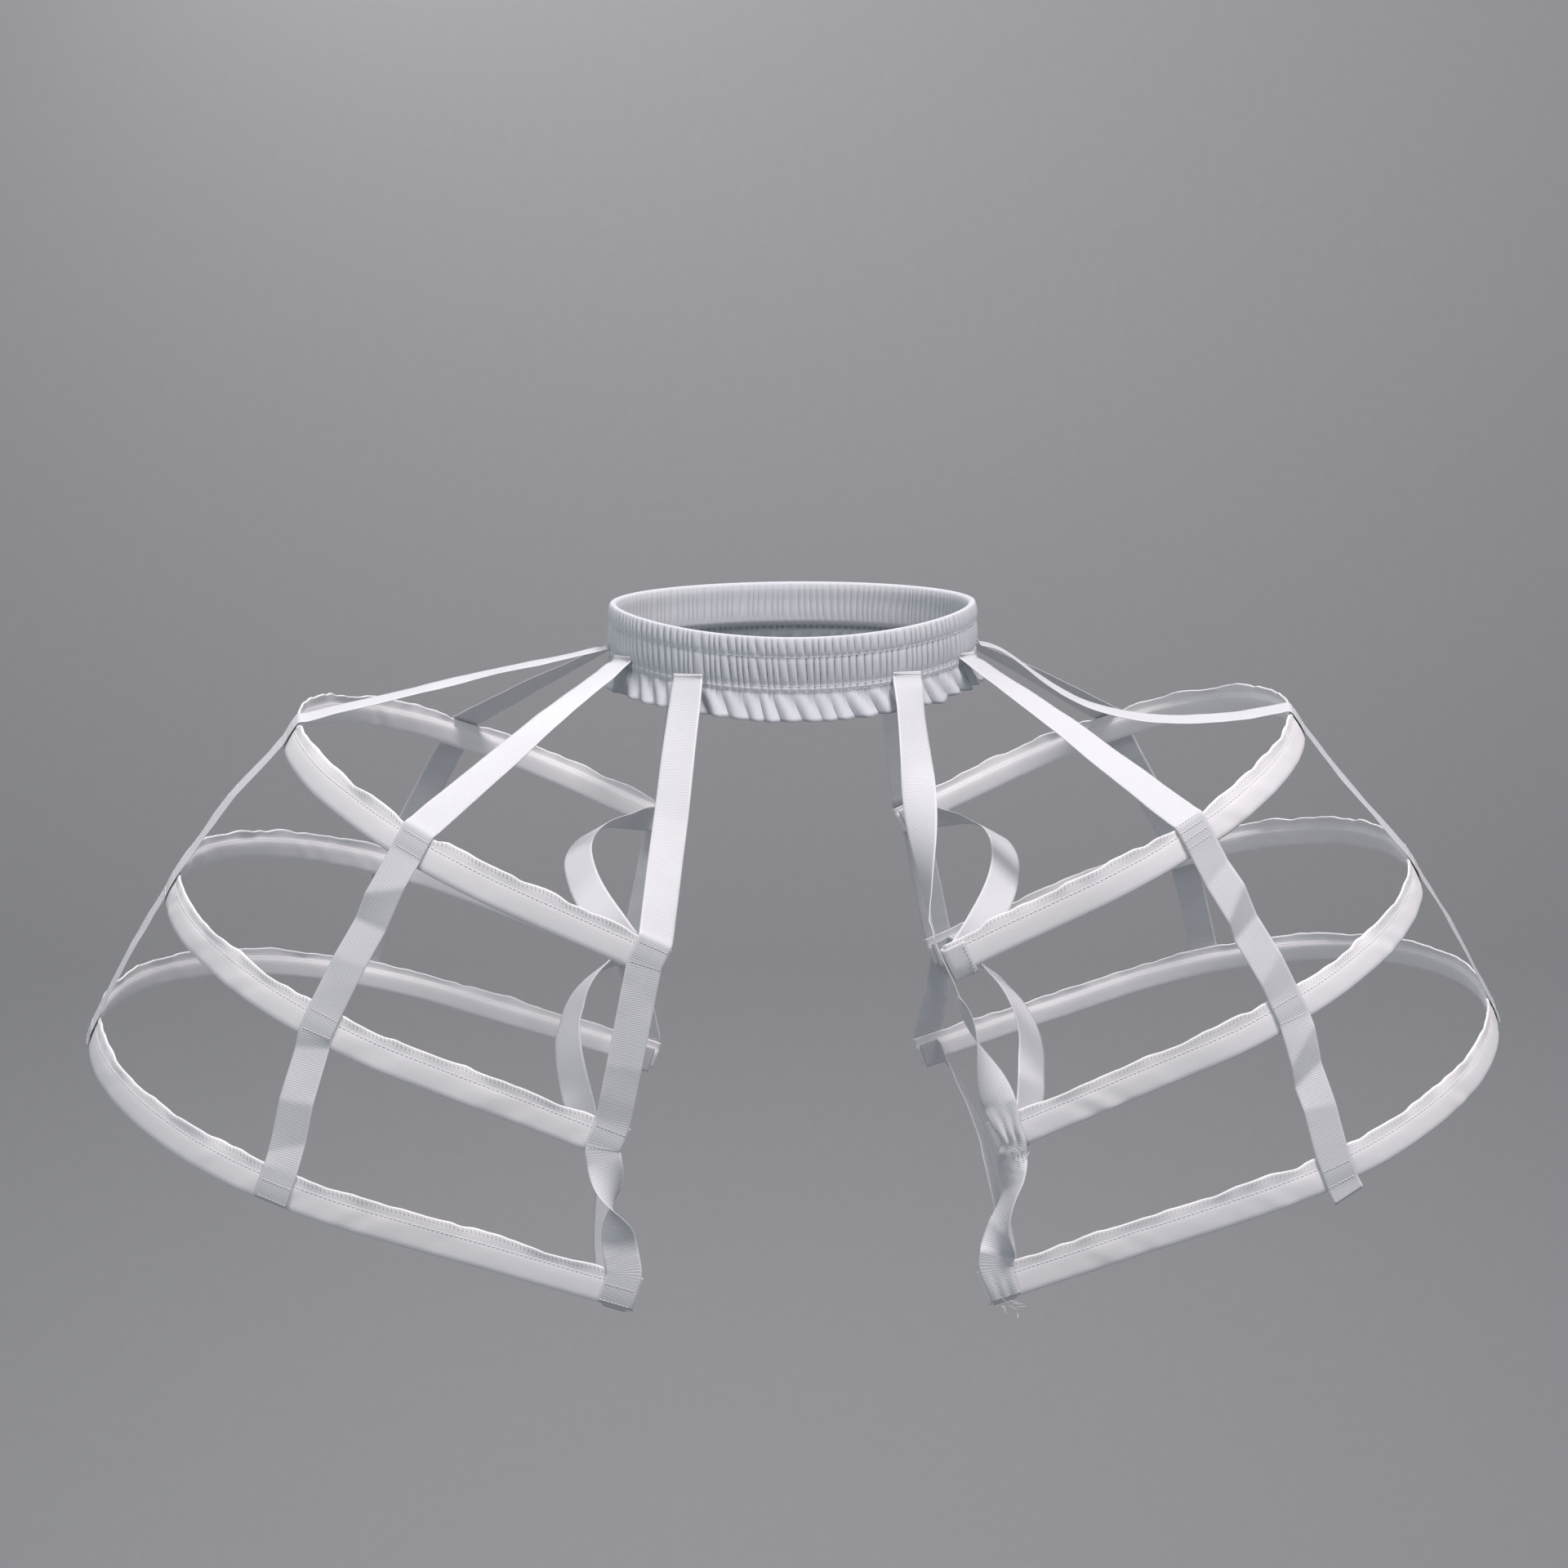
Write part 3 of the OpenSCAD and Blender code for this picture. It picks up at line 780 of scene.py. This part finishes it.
def casing_seams(i, seed):
    """Rows of stitches of a casing of the right side: its seam on both sides and the edge of its flange."""
    length = HOOP_LENGTH[i]
    at = np.arange(SEAM_MARGIN, length - SEAM_MARGIN, SEAM_PITCH)
    shape = casing_shape(i, at, seed)
    rows = []
    for column, out in zip(SEAM_COLUMNS, (1.0, -1.0)):
        q = shape[:, column] + (out * SEAM_OUT, 0.0)
        ahead = on_hoop(i, at + HALF_STEP, q) - on_hoop(i, at - HALF_STEP, q)
        rows.append((on_hoop(i, at, q), ahead, hoop_dir(i, at, [out, 0.0]), SEAM_STITCH))
    at = np.arange(EDGE_MARGIN, length - EDGE_MARGIN, EDGE_PITCH)
    shape = casing_shape(i, at, seed)
    low = on_hoop(i, at, shape[:, EDGE_LOW] + EDGE_LOW_SHIFT)
    high = on_hoop(i, at + EDGE_SLANT, shape[:, EDGE_HIGH] + EDGE_HIGH_SHIFT)
    rows.append(((low + high) / 2, high - low, hoop_dir(i, at, OUT), EDGE_STITCH))
    return rows


def mirrored_rows(side, rows):
    return [(*(mirrored(side, values) for values in row[:-1]), row[-1]) for row in rows]


def make_casing(side, i):
    seed = seed_of(CASING_SEED, i, side)
    length = HOOP_LENGTH[i]
    d = np.linspace(-CASING_OVER, length + CASING_OVER, int(length / CASING_STEP) + 1)
    section = casing_shape(i, d, seed)
    points = mirrored(side, on_hoop(i, d[:, None] * np.ones((1, section.shape[1])), section))
    wide = run_along(section.mean(0))
    uv = np.stack(np.meshgrid(d, wide, indexing="ij"), -1)[..., ::-1] * MM
    name = f"{side}_{LEVELS[i]}"
    piece = thicken(grid_piece(name + "_casing_cloth", points, uv, flip=side == "left"), thickness=0.4)
    dress(piece, CASING)
    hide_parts(name + "_casing")
    rows = mirrored_rows(side, casing_seams(i, seed))
    thread = stitches(name + "_casing_stitches", rows, radius=0.16)


# Ribbons, each a row of stations with a middle, a width direction and a face direction

QUARTER = math.pi / 2
STRAIGHT = (0.0, 0.0, 0.0)
# Turns that two of the ribbons make before each hoop, and where along the stretch they turn
TURNS = {"left_front": (0.0, 0.0, 2 * QUARTER), "right_front": (QUARTER, QUARTER, 0.0)}
TURN_FADE = (0.1, 0.8)
# The slack of one ribbon
SLACK_RIBBON = "right_side"
SLACK_LEVEL = 35.0
SLACK_DROP = 75.0
SLACK_FAR = 1.4
RIBBON_STEP = 1.6
SPAN_STEPS = 24
SMALL_STEP = 0.01
# Weights that round the bends of a ribbon
ROUNDING = np.array([1.0, 3.0, 4.0, 3.0, 1.0]) / 12
# How far past the end of its hoop a tie's cuff lies, and the ribbon outside it
CUFF_PAST = CASING_OVER + 1.7
END_LIFT = CUFF_PAST + 2 * LIFT + 0.1
# How a ribbon comes free beside a seat
FREE_FADE = (3.0, 14.0)


def turned(s, a):
    p, w, f = s
    return p, w * math.cos(a) + f * math.sin(a), f * math.cos(a) - w * math.sin(a)


def span(s, e, steps, twist=0.0):
    """Free stretch between two stations, which may turn over on the way."""
    direction = unit(e[0] - s[0])
    made = []
    for k in range(1, steps):
        t = k / steps
        w = without(mix(s[1], e[1], t), direction)
        made.append(turned((mix(s[0], e[0], t), w, np.cross(direction, w)), twist * fade(t, TURN_FADE)))
    return made


def bezier(p, t):
    return (1 - t) ** 3 * p[0] + 3 * t * (1 - t) ** 2 * p[1] + 3 * t * t * (1 - t) * p[2] + t ** 3 * p[3]


def bezier_way(p, t):
    return unit(bezier(p, t + SMALL_STEP) - bezier(p, t - SMALL_STEP))


def slack_span(s, e, outward, steps):
    """Free stretch of a slack ribbon: level from the waist, then down, then up to the hoop."""
    far = outward * SLACK_FAR * SLACK_LEVEL - (0.0, 0.0, SLACK_DROP)
    p = [s[0], s[0] + outward * SLACK_LEVEL, s[0] + far, e[0]]
    made = []
    for k in range(1, steps):
        t = k / steps
        direction = bezier_way(p, t)
        w = without(mix(s[1], e[1], t), direction)
        made.append((bezier(p, t), w, np.cross(direction, w)))
    return made


def chord_sag(radius):
    """How far the middle of a ribbon's width lies inside a curve that it spans."""
    return RIBBON_W ** 2 / 8 / radius


def crossing(i, d, places):
    """Stations where a ribbon is sewn over the outside of a casing."""
    near_end = min(d, HOOP_LENGTH[i] - d) + RIBBON_W / 2
    sag = 0.0 if near_end < LEG[i] else chord_sag(HALF_DEPTH[i])
    made = []
    for x, y, fx, fy in places:
        a = on_hoop(i, d - RIBBON_W / 2, [x + sag, y])
        b = on_hoop(i, d + RIBBON_W / 2, [x + sag, y])
        w = unit(b - a)
        made.append(((a + b) / 2, w, without(hoop_dir(i, d, [fx, fy]), w)))
    return made


def end_crossing(i):
    """Stations where a ribbon is sewn down the end of a casing, as they were before their quarter turn."""
    out = tilted(i, [-1, 0, 0])
    ahead = tilted(i, [0, -1, 0])
    heights = (FLANGE_TOP + 2 * FLANGE_T, 0.0, -POCKET_H / 2 - 2 * FLANGE_T)
    lift = END_LIFT * out
    return [turned((on_hoop(i, 0.0, [0.0, y]) + lift, ahead, out), -QUARTER) for y in heights]


# Places of a ribbon on a casing, out and up, and the direction it faces there, out and up
CORNER = LIFT / math.sqrt(2)
UNDER_IN = 0.4
OVER_TOP = [[-FLANGE_T / 2, FLANGE_TOP + LIFT, 0, 1], [FLANGE_OUT + CORNER, FLANGE_TOP + CORNER, 1, 1],
            [FLANGE_OUT + LIFT, FLANGE_TOP - FLANGE_T, 1, 0]]
BESIDE_TOP = [[FLANGE_OUT + LIFT, FLANGE_TOP, 1, 0]]
DOWN_FACE = [[FACE_OUT + LIFT, POCKET_H / 5, 1, 0], [FACE_OUT + LIFT, -POCKET_H / 6, 1, 0]]
UNDER_END = [[FACE_OUT - UNDER_IN + LIFT, -POCKET_H / 2.6, 1, -0.4]]
SEAT_PLACES = (OVER_TOP + DOWN_FACE, BESIDE_TOP + DOWN_FACE, BESIDE_TOP + DOWN_FACE + UNDER_END)


def waist_stations(a):
    p = oval(a, LIFT + chord_sag(min(WAIST_W, WAIST_D) / 2))
    n = oval_out(a)
    w = np.array([-n[1], n[0], 0.0])
    low = band_rise(a) + BAND_LOW
    return [(np.array([p[0], p[1], low + z]), w, n) for z in (RIBBON_SEWN, 0.0)]


def ribbon_place(r, i):
    """Where a ribbon crosses a hoop, as a distance along the hoop."""
    if r == 0:
        return END_PLACE
    if r == len(RIBBONS) - 1:
        return HOOP_LENGTH[i] - END_PLACE
    return SHARES[r] * HOOP_LENGTH[i]


def ribbon_stations(r, turns, slack):
    """Stations of a hanging ribbon of the right side, and the first and last number on each seat."""
    made = waist_stations(RIBBON_ANGLES[r])
    seats = [(0, 1)]
    spin = 0.0
    for i, places in enumerate(SEAT_PLACES):
        at_end = i == 0 and turns[0] == QUARTER
        seat = end_crossing(0) if at_end else crossing(i, ribbon_place(r, i), places)
        start = turned(made[-1], -spin)
        if i == 0 and slack:
            made += slack_span(start, seat[0], oval_out(RIBBON_ANGLES[r]), SPAN_STEPS)
        else:
            made += [turned(s, spin) for s in span(start, seat[0], SPAN_STEPS, turns[i])]
        spin += turns[i]
        first = len(made)
        made += [turned(s, spin) for s in seat]
        seats.append((first, len(made) - 1))
    return made, seats


def dense(stations, step):
    """Even steps along a row of stations, with their bends rounded. Also gives the run of each station."""
    places = np.array([s[0] for s in stations])
    run = run_along(places)
    at = np.linspace(0, run[-1], int(run[-1] / step) + 1)

    def rounded(values):
        even = np.stack([np.interp(at, run, values[:, k]) for k in range(3)], -1)
        padded = np.concatenate([2 * even[:1] - even[2:0:-1], even, 2 * even[-1:] - even[-2:-4:-1]])
        return np.stack([np.convolve(padded[:, k], ROUNDING, "valid") for k in range(3)], -1)

    p = rounded(places)
    w = rounded(np.array([s[1] for s in stations]))
    f = rounded(np.array([s[2] for s in stations]))
    t = unit(np.gradient(p, axis=0))
    w = without(w, t)
    n = np.cross(t, w)
    n *= np.sign((n * f).sum(-1, keepdims=True))
    return at, p, w, n, run


def free_share(at, run, seats):
    """1 on the free stretches of a ribbon and 0 where it is sewn down."""
    near = np.min([np.maximum(np.maximum(run[a] - at, at - run[b]), 0) for a, b in seats], axis=0)
    return fade(near, FREE_FADE)


ACROSS = np.linspace(-1, 1, num=13)
CREASE_DEPTH = 1.7
# Creases of each ribbon: the stretch from the top down, the share along it, the slant and the height
CREASES = {
    "left_front": [(0, 0.3, 1.0, 0.5), (0, 0.56, -1.5, -0.9), (1, 0.64, 0.5, 1.5)],
    "left_front_slant": [
        (0, 0.5, 3.0, 0.9), (1, 0.24, 7.0, 1.6), (1, 0.46, 1.0, -1.0), (1, 0.7, 2.0, 0.5),
        (2, 0.1, 2.0, -1.0), (2, 0.5, 1.0, 1.3), (2, 0.84, 5.0, -0.9)],
    "left_side": [(0, 0.4, 2.0, 0.7), (1, 0.45, 4.0, 1.6), (2, 0.5, -2.0, 0.8)],
    "left_back_slant": [(0, 0.6, 2.0, 0.8), (1, 0.4, 3.0, 0.9), (2, 0.5, -2.0, -0.9)],
    "left_back": [(0, 0.4, 2.0, 0.7), (1, 0.5, 2.0, -0.8), (2, 0.5, 2.0, 0.8)],
    "right_front": [(0, 0.4, 1.5, 0.6), (2, 0.35, 4.0, 1.3), (2, 0.7, -3.0, -1.0)],
    "right_front_slant": [
        (0, 0.45, -2.0, 0.8), (1, 0.2, -3.0, -0.6), (1, 0.4, -7.0, 1.6), (1, 0.56, -3.0, -1.2),
        (1, 0.84, -5.0, 0.9), (2, 0.2, -9.0, 0.9), (2, 0.42, -5.0, -1.3), (2, 0.66, 1.0, 0.7)],
    "right_side": [(0, 0.3, 2.0, 0.8), (1, 0.35, 2.0, -0.7), (2, 0.4, 2.0, 0.9)],
    "right_back_slant": [(0, 0.5, 3.0, 0.9), (1, 0.25, 2.0, -0.8), (2, 0.5, 2.0, 0.8)],
    "right_back": [(0, 0.5, -2.0, 0.8), (1, 0.4, 2.0, 0.8), (2, 0.5, -2.0, -0.8)],
}
# A loose turn in the middle of a stretch, by ribbon: the stretch from the top down and its angle
LOOSE_TURNS = {"right_front": [(0, -0.5), (1, -0.65), (2, 1.2)], "left_front": [(2, 0.2)]}
TURN_CLEAR = 8.0
TURN_POWER = 0.7
# Ribbons that are bunched where they cross hoops, by ribbon: the seat and how much
BUNCHED = {"right_front": [(2, 1.0), (3, 0.45)]}
BUNCH_UP = 3.0
BUNCH_LENGTH = 13.0
BUNCH_NARROW = 0.34
PLEAT_DEPTH = 1.1
PLEAT_TURNS = 3
PLEAT_SHIFT = (0.8, 7)
# Ribbons whose cut end hangs below the lower hoop, and by how much
TAILS = {"right_front_slant": 8.5}
TAIL_WAY = (0.55, -0.15, -1.0)
# Unevenness of a hanging ribbon and of a tie: its size and its pitch along the ribbon
RIBBON_CUP = (0.35, 40)
RIBBON_WAVE = (0.4, 26)
RIBBON_TWIST = (0.25, 13)
TIE_CUP = (0.4, 45)
TIE_WAVE = (0.7, 34)
# A cupped section across a ribbon, whose mean height is about 0
CUPPED = ACROSS ** 2 - 0.33

# Rows of stitches across a ribbon: their margin, pitch, length and height, and how far above a seat's end
SEAM_EDGE = 1.4
CROSS_PITCH = 2.2
CROSS_STITCH = 1.7
CROSS_OUT = RIBBON_CLOTH / 2 + 0.05
WAIST_SPOTS = [0.8]
HOOP_SPOTS = [11.5, 1.0]
MORE_SPOTS = {("right_front_slant", 1): [15.0, 6.0]}

# Loose threads at a bunched seat: their middles and ways with the spread of both
WISPS = 9
WISP_LENGTH = 5.5
WISP_PLACE = (3.0, -3.2, -4.5)
WISP_SPREAD = (5.0, 1.2, 4.5)
WISP_WAY = (0.7, -0.15, -0.6)
WISP_WAY_SPREAD = (0.9, 0.3, 0.8)
WISP_UP = (0.0, -1.0, 0.2)


def facets(at, run, seats, creases):
    """Height of a ribbon that was pressed into folds: level pieces that meet along slanting creases."""
    height = np.zeros((len(at), len(ACROSS)))
    for level in range(len(seats) - 1):
        low, high = run[seats[level][1]], run[seats[level + 1][0]]
        folds = sorted(c for c in creases if c[0] == level)
        inside = (at >= low) & (at <= high)
        y = [0.0] + [CREASE_DEPTH * rise for _, _, _, rise in folds] + [0.0]
        for j, t in enumerate(ACROSS):
            x = [low] + [low + share * (high - low) + slant * t for _, share, slant, _ in folds] + [high]
            height[inside, j] += np.interp(at[inside], x, y)
    return height


def loosened(name, at, run, seats, w, n):
    """Width and face directions of a ribbon with its loose turns added."""
    angle = np.zeros(len(at))
    for level, turn in LOOSE_TURNS.get(name, []):
        low, high = run[seats[level][1]] + TURN_CLEAR, run[seats[level + 1][0]] - TURN_CLEAR
        angle += turn * np.sin(math.pi * np.clip((at - low) / (high - low), 0, 1)) ** TURN_POWER
    c, s = np.cos(angle)[:, None], np.sin(angle)[:, None]
    return w * c + n * s, n * c - w * s


def bunching(name, at, run, seats):
    """How much a ribbon is drawn together along its length, from 0 to 1."""
    amount = np.zeros(len(at))
    for seat, share in BUNCHED.get(name, []):
        middle = run[seats[seat][1]] - BUNCH_UP
        amount = np.maximum(amount, share * np.exp(-((at - middle) / BUNCH_LENGTH) ** 2))
    return amount


def strip(name, side, at, p, w, n, height, bunched=0.0):
    """A ribbon's cloth over its stations, with a height above them at each place across."""
    drawn = 1 - BUNCH_NARROW * np.reshape(bunched, (-1, 1)) * np.ones((len(at), 1))
    reach = drawn * ACROSS * RIBBON_W / 2
    points = p[:, None] + w[:, None] * reach[..., None] + n[:, None] * height[..., None]
    uv = np.stack(np.meshgrid(at, (ACROSS + 1) / 2 * RIBBON_W, indexing="ij"), -1)[..., ::-1] * MM
    piece = grid_piece(name, mirrored(side, points), uv, flip=side == "left")
    return dress(thicken(piece, RIBBON_CLOTH), RIBBON)


def nearest(at, spot):
    return int(np.argmin(np.abs(at - spot)))


def seam_across(p, w, n, k, toward):
    """A row of stitches across a ribbon at one of its stations, on the face toward a direction."""
    face = n[k] if n[k] @ toward > 0 else -n[k]
    reach = RIBBON_W / 2 - SEAM_EDGE
    places = np.arange(-reach, reach, CROSS_PITCH)[:, None]
    ones = np.ones((len(places), 1))
    return p[k] + places * w[k] + face * CROSS_OUT, ones * w[k], ones * face, CROSS_STITCH


def wisps(place, seed):
    """A few loose threads that stand off a bunched seat, to the front and down."""
    draws = np.random.default_rng(seed).uniform(-1, 1, (WISPS, 3))
    middles = place + WISP_PLACE + draws * WISP_SPREAD
    along = WISP_WAY + draws[:, ::-1] * WISP_WAY_SPREAD
    return middles, along, np.tile(WISP_UP, (WISPS, 1)), WISP_LENGTH


def ribbon_seams(name, r, seed, at, p, w, n, run, seats):
    """Rows of stitches of a hanging ribbon of the right side, with its loose threads."""
    rows = []
    for level, (_, end) in enumerate(seats):
        spots = HOOP_SPOTS if level else WAIST_SPOTS
        for up in spots + MORE_SPOTS.get((name, level), []):
            k = nearest(at, run[end] - up)
            out = hoop_dir(level - 1, ribbon_place(r, level - 1), OUT) if level else n[k]
            if level == 1 and TURNS.get(name, STRAIGHT)[0] == QUARTER:
                out = tilted(0, [-1, 0, 0])
            rows.append(seam_across(p, w, n, k, out))
    for seat, _ in BUNCHED.get(name, []):
        rows.append(wisps(p[nearest(at, run[seats[seat][1]])], seed + seat))
    return rows


def make_ribbon(side, r):
    name = f"{side}_{RIBBONS[r]}"
    seed = seed_of(RIBBON_SEED, r, side)
    stations, seats = ribbon_stations(r, TURNS.get(name, STRAIGHT), name == SLACK_RIBBON)
    if name in TAILS:
        end, across, face = stations[-1]
        stations.append((end + TAILS[name] * unit(TAIL_WAY), across, face))
    at, p, w, n, run = dense(stations, RIBBON_STEP)
    free = free_share(at, run, seats)[:, None]
    cup = uneven(at, RIBBON_CUP, seed)[:, None] * CUPPED
    wave = uneven(at, RIBBON_WAVE, seed + 1)[:, None]
    edge = uneven(at, RIBBON_TWIST, seed + 2)[:, None] * ACROSS
    height = free * (cup + wave + edge) + facets(at, run, seats, CREASES[name])
    w, n = loosened(name, at, run, seats, w, n)
    bunched = bunching(name, at, run, seats)
    outward = np.sign((n * (p - (0.0, 0.0, p[0, 2]))).sum(-1))
    pleats = 1 + np.cos(PLEAT_TURNS * math.pi * ACROSS + uneven(at, PLEAT_SHIFT, seed + 3)[:, None])
    height = height + (outward * bunched)[:, None] * pleats * PLEAT_DEPTH
    piece = strip(name + "_ribbon_cloth", side, at, p, w, n, height, bunched)
    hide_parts(name + "_ribbon")
    rows = mirrored_rows(side, ribbon_seams(name, r, seed, at, p, w, n, run, seats))
    thread = stitches(name + "_ribbon_stitches", rows, RIBBON_THREAD)


# Ties across the open side of each hoop. The end of one comes over the end of its casing as a cuff

TIE_START = END_PLACE / 4
LEAN_GROWTH = 6
# Stitches at both ends of a tie's seat, off the inner and the outer end
TIE_SEAM_IN = 1.0
TIE_SEAM_OUT = 1.5
CUFFED_TIE = "right_upper_tie"
CUFF_LENGTH = 12.0
CUFF_FADE = (CUFF_LENGTH, 6.0)
# How far the cuff's lower and upper edges curl in, and its places along the casing with their heights
CUFF_CURL = (2.2, 0.4)
CUFF_PLACES = ((CUFF_LENGTH, 2.9), (CUFF_LENGTH / 2, 3.0), (2.0, 3.2))
CUFF_DOWN = -0.5
CUFF_TURN = 2.0
CUFF_CORNER = 2.4
CUFF_SEAM = 1


def tie_seat(i, d):
    place = on_hoop(i, d, [-FACE_OUT - LIFT, 0.0])
    return place, hoop_dir(i, d, UP), hoop_dir(i, d, OUT)


def cuff_stations(i):
    """Stations of a tie's end that comes over the end of a casing and lies on its outside."""
    back = hoop_dir(i, 0.0, IN)
    made = []
    for d, out in CUFF_PLACES:
        made.append((on_hoop(i, d, [out, CUFF_DOWN]), hoop_dir(i, d, UP), back))
    for out in (CUFF_CORNER, -CUFF_CORNER):
        end = on_hoop(i, 0.0, [out, CUFF_DOWN]) - tilted(i, [CUFF_PAST, 0, 0])
        made.append((end, hoop_dir(i, 0.0, UP), tilted(i, [1, 0, 0])))
    return made


def tie_stations(i, cuffed):
    """Stations of a tie of the right side, and the first and last number on each seat."""
    last = HOOP_LENGTH[i] - TIE_START
    s = tie_seat(i, TIE_START + (CUFF_TURN if cuffed else TIE_SEWN))
    e = tie_seat(i, last - TIE_SEWN)
    up = tilted(i, [0, 0, 1])
    tip = (s[0] + e[0]) / 2 + tilted(i, [2 * TIE_BOW[i], 0, 0])
    p = [s[0], mix(s[0], tip, 2 / 3), mix(e[0], tip, 2 / 3), e[0]]
    made = cuff_stations(i) if cuffed else []
    made += [tie_seat(i, TIE_START), s]
    seats = [(0, len(made) - 1), (len(made) - 1 + SPAN_STEPS, len(made) + SPAN_STEPS)]
    for t in np.linspace(0, 1, SPAN_STEPS + 1)[1:-1]:
        lean = TIE_LEAN[i] * smooth(LEAN_GROWTH * min(t, 1 - t))
        made.append(turned((bezier(p, t), up, np.cross(bezier_way(p, t), up)), -lean))
    return made + [e, tie_seat(i, last)], seats


def tie_seams(i, cuffed, at, p, w, n, run, seats):
    """Rows of stitches of a tie of the right side."""
    last_in = hoop_dir(i, HOOP_LENGTH[i] - TIE_START, IN)
    first_in = hoop_dir(i, TIE_START, IN)
    spots = [(run[-2] + TIE_SEAM_IN, last_in), (run[-1] - TIE_SEAM_OUT, last_in)]
    if not cuffed:
        sewn = run[seats[0][1]]
        spots += [(sewn - TIE_SEWN + TIE_SEAM_OUT, first_in), (sewn - TIE_SEAM_IN, first_in)]
    rows = [seam_across(p, w, n, nearest(at, spot), inward) for spot, inward in spots]
    if cuffed:
        rows.append(seam_across(p, w, n, CUFF_SEAM, -first_in))
    return rows


def make_tie(side, i):
    name = f"{side}_{LEVELS[i]}_tie"
    seed = seed_of(TIE_SEED, i, side)
    cuffed = name == CUFFED_TIE
    stations, seats = tie_stations(i, cuffed)
    at, p, w, n, run = dense(stations, RIBBON_STEP)
    free = free_share(at, run, seats)[:, None]
    height = free * (uneven(at, TIE_CUP, seed)[:, None] * CUPPED + uneven(at, TIE_WAVE, seed + 1)[:, None])
    if cuffed:
        hug = 1 - fade(at, CUFF_FADE)[:, None]
        height = height + np.where(ACROSS < 0, *CUFF_CURL) * hug * ACROSS ** 2
    piece = strip(name + "_cloth", side, at, p, w, n, height)
    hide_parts(name)
    rows = mirrored_rows(side, tie_seams(i, cuffed, at, p, w, n, run, seats))
    thread = stitches(name + "_stitches", rows, RIBBON_THREAD)


make_waistband()
for side in SIDES:
    for i in range(len(LEVELS)):
        make_casing(side, i)
        make_tie(side, i)
        paint(nodes[f"{side}_{LEVELS[i]}_bone"], BONE)
    for r in range(len(RIBBONS)):
        make_ribbon(side, r)
paint(nodes["waist_elastic"], ELASTIC)


# Stage: a pale floor that curves up into a backdrop

FLOOR_Z = -1.7
FLOOR_FRONT = -4.0
BACK_Y = 1.9
BACK_TOP = 4.0
HALF_STAGE = 6.0
CURVE_R = 0.9
CURVE_STEPS = 16
STAGE_DARK = (0.41, 0.413, 0.42)
STAGE_LIGHT = (0.422, 0.424, 0.43)


def make_stage():
    profile = [(FLOOR_FRONT, FLOOR_Z)]
    for k in range(CURVE_STEPS + 1):
        a = k / CURVE_STEPS * math.pi / 2
        profile.append((BACK_Y - CURVE_R + CURVE_R * math.sin(a), FLOOR_Z + CURVE_R * (1 - math.cos(a))))
    profile.append((BACK_Y, BACK_TOP))
    verts = [(x, y, z) for y, z in profile for x in (-HALF_STAGE, HALF_STAGE)]
    faces = [(2 * k, 2 * k + 1, 2 * k + 3, 2 * k + 2) for k in range(len(profile) - 1)]
    stage = new_piece("pale_floor", np.array(verts) / MM, faces)
    made, nt, shader = start_material("pale_floor", roughness=0.9)
    mottle = noise(nt, object_place(nt), scale=60.0, detail=4.0)
    colour = mixed(nt, spread(nt, mottle, CLOUD_RANGE), STAGE_DARK, STAGE_LIGHT)
    nt.links.new(colour, shader.inputs["Base Color"])
    stage.data.materials.append(made)


make_stage()


# Light and camera

def area_light(name, place, target, size, power, colour):
    data = bpy.data.lights.new(name, "AREA")
    data.shape = "DISK"
    data.size = size
    data.energy = power
    data.color = colour
    lamp = bpy.data.objects.new(name, data)
    lamp.location = place
    lamp.rotation_mode = "QUATERNION"
    lamp.rotation_quaternion = (Vector(target) - Vector(place)).to_track_quat("-Z", "Y")
    scene.collection.objects.link(lamp)


# Name, place, target, size, power and colour of each light
LIGHTS = (
    ("key", (0.65, -0.8, 2.2), (0.0, -0.05, -0.2), 0.7, 60.0, (1.0, 0.905, 0.915)),
    ("fill", (-1.0, -1.3, 1.5), (0.0, 0.0, -0.2), 1.0, 12.0, (1.0, 0.95, 0.93)),
    ("back", (-0.6, 1.4, 1.5), (0.0, 0.0, -0.2), 1.2, 16.0, (0.95, 0.97, 1.0)),
)
CAMERA_PLACE = (-0.0468, -1.353, 0.1993)
CAMERA_DOWN = math.radians(12.29)
CAMERA_TURN = math.radians(1.72)
CAMERA_ROLL = math.radians(-0.32)
CAMERA_LENS = 48.84


def make_camera():
    level = math.cos(CAMERA_DOWN)
    ahead = Vector((math.sin(CAMERA_TURN) * level, math.cos(CAMERA_TURN) * level, -math.sin(CAMERA_DOWN)))
    right = Vector((math.cos(CAMERA_TURN), -math.sin(CAMERA_TURN), 0.0))
    right = right * math.cos(CAMERA_ROLL) + right.cross(ahead) * math.sin(CAMERA_ROLL)
    up = right.cross(ahead)
    data = bpy.data.cameras.new("camera")
    data.lens = CAMERA_LENS
    data.sensor_width = 36.0
    camera = bpy.data.objects.new("camera", data)
    camera.matrix_world = Matrix((right, up, -ahead)).transposed().to_4x4()
    camera.location = CAMERA_PLACE
    scene.collection.objects.link(camera)
    scene.camera = camera


for light in LIGHTS:
    area_light(*light)
world = bpy.data.worlds.new("studio")
world.use_nodes = True
sky = world.node_tree.nodes["Background"]
sky.inputs["Color"].default_value = (0.8, 0.9, 1.0, 1.0)
sky.inputs["Strength"].default_value = 0.33
scene.world = world
make_camera()
scene.view_settings.view_transform = "Standard"

bpy.context.view_layer.update()
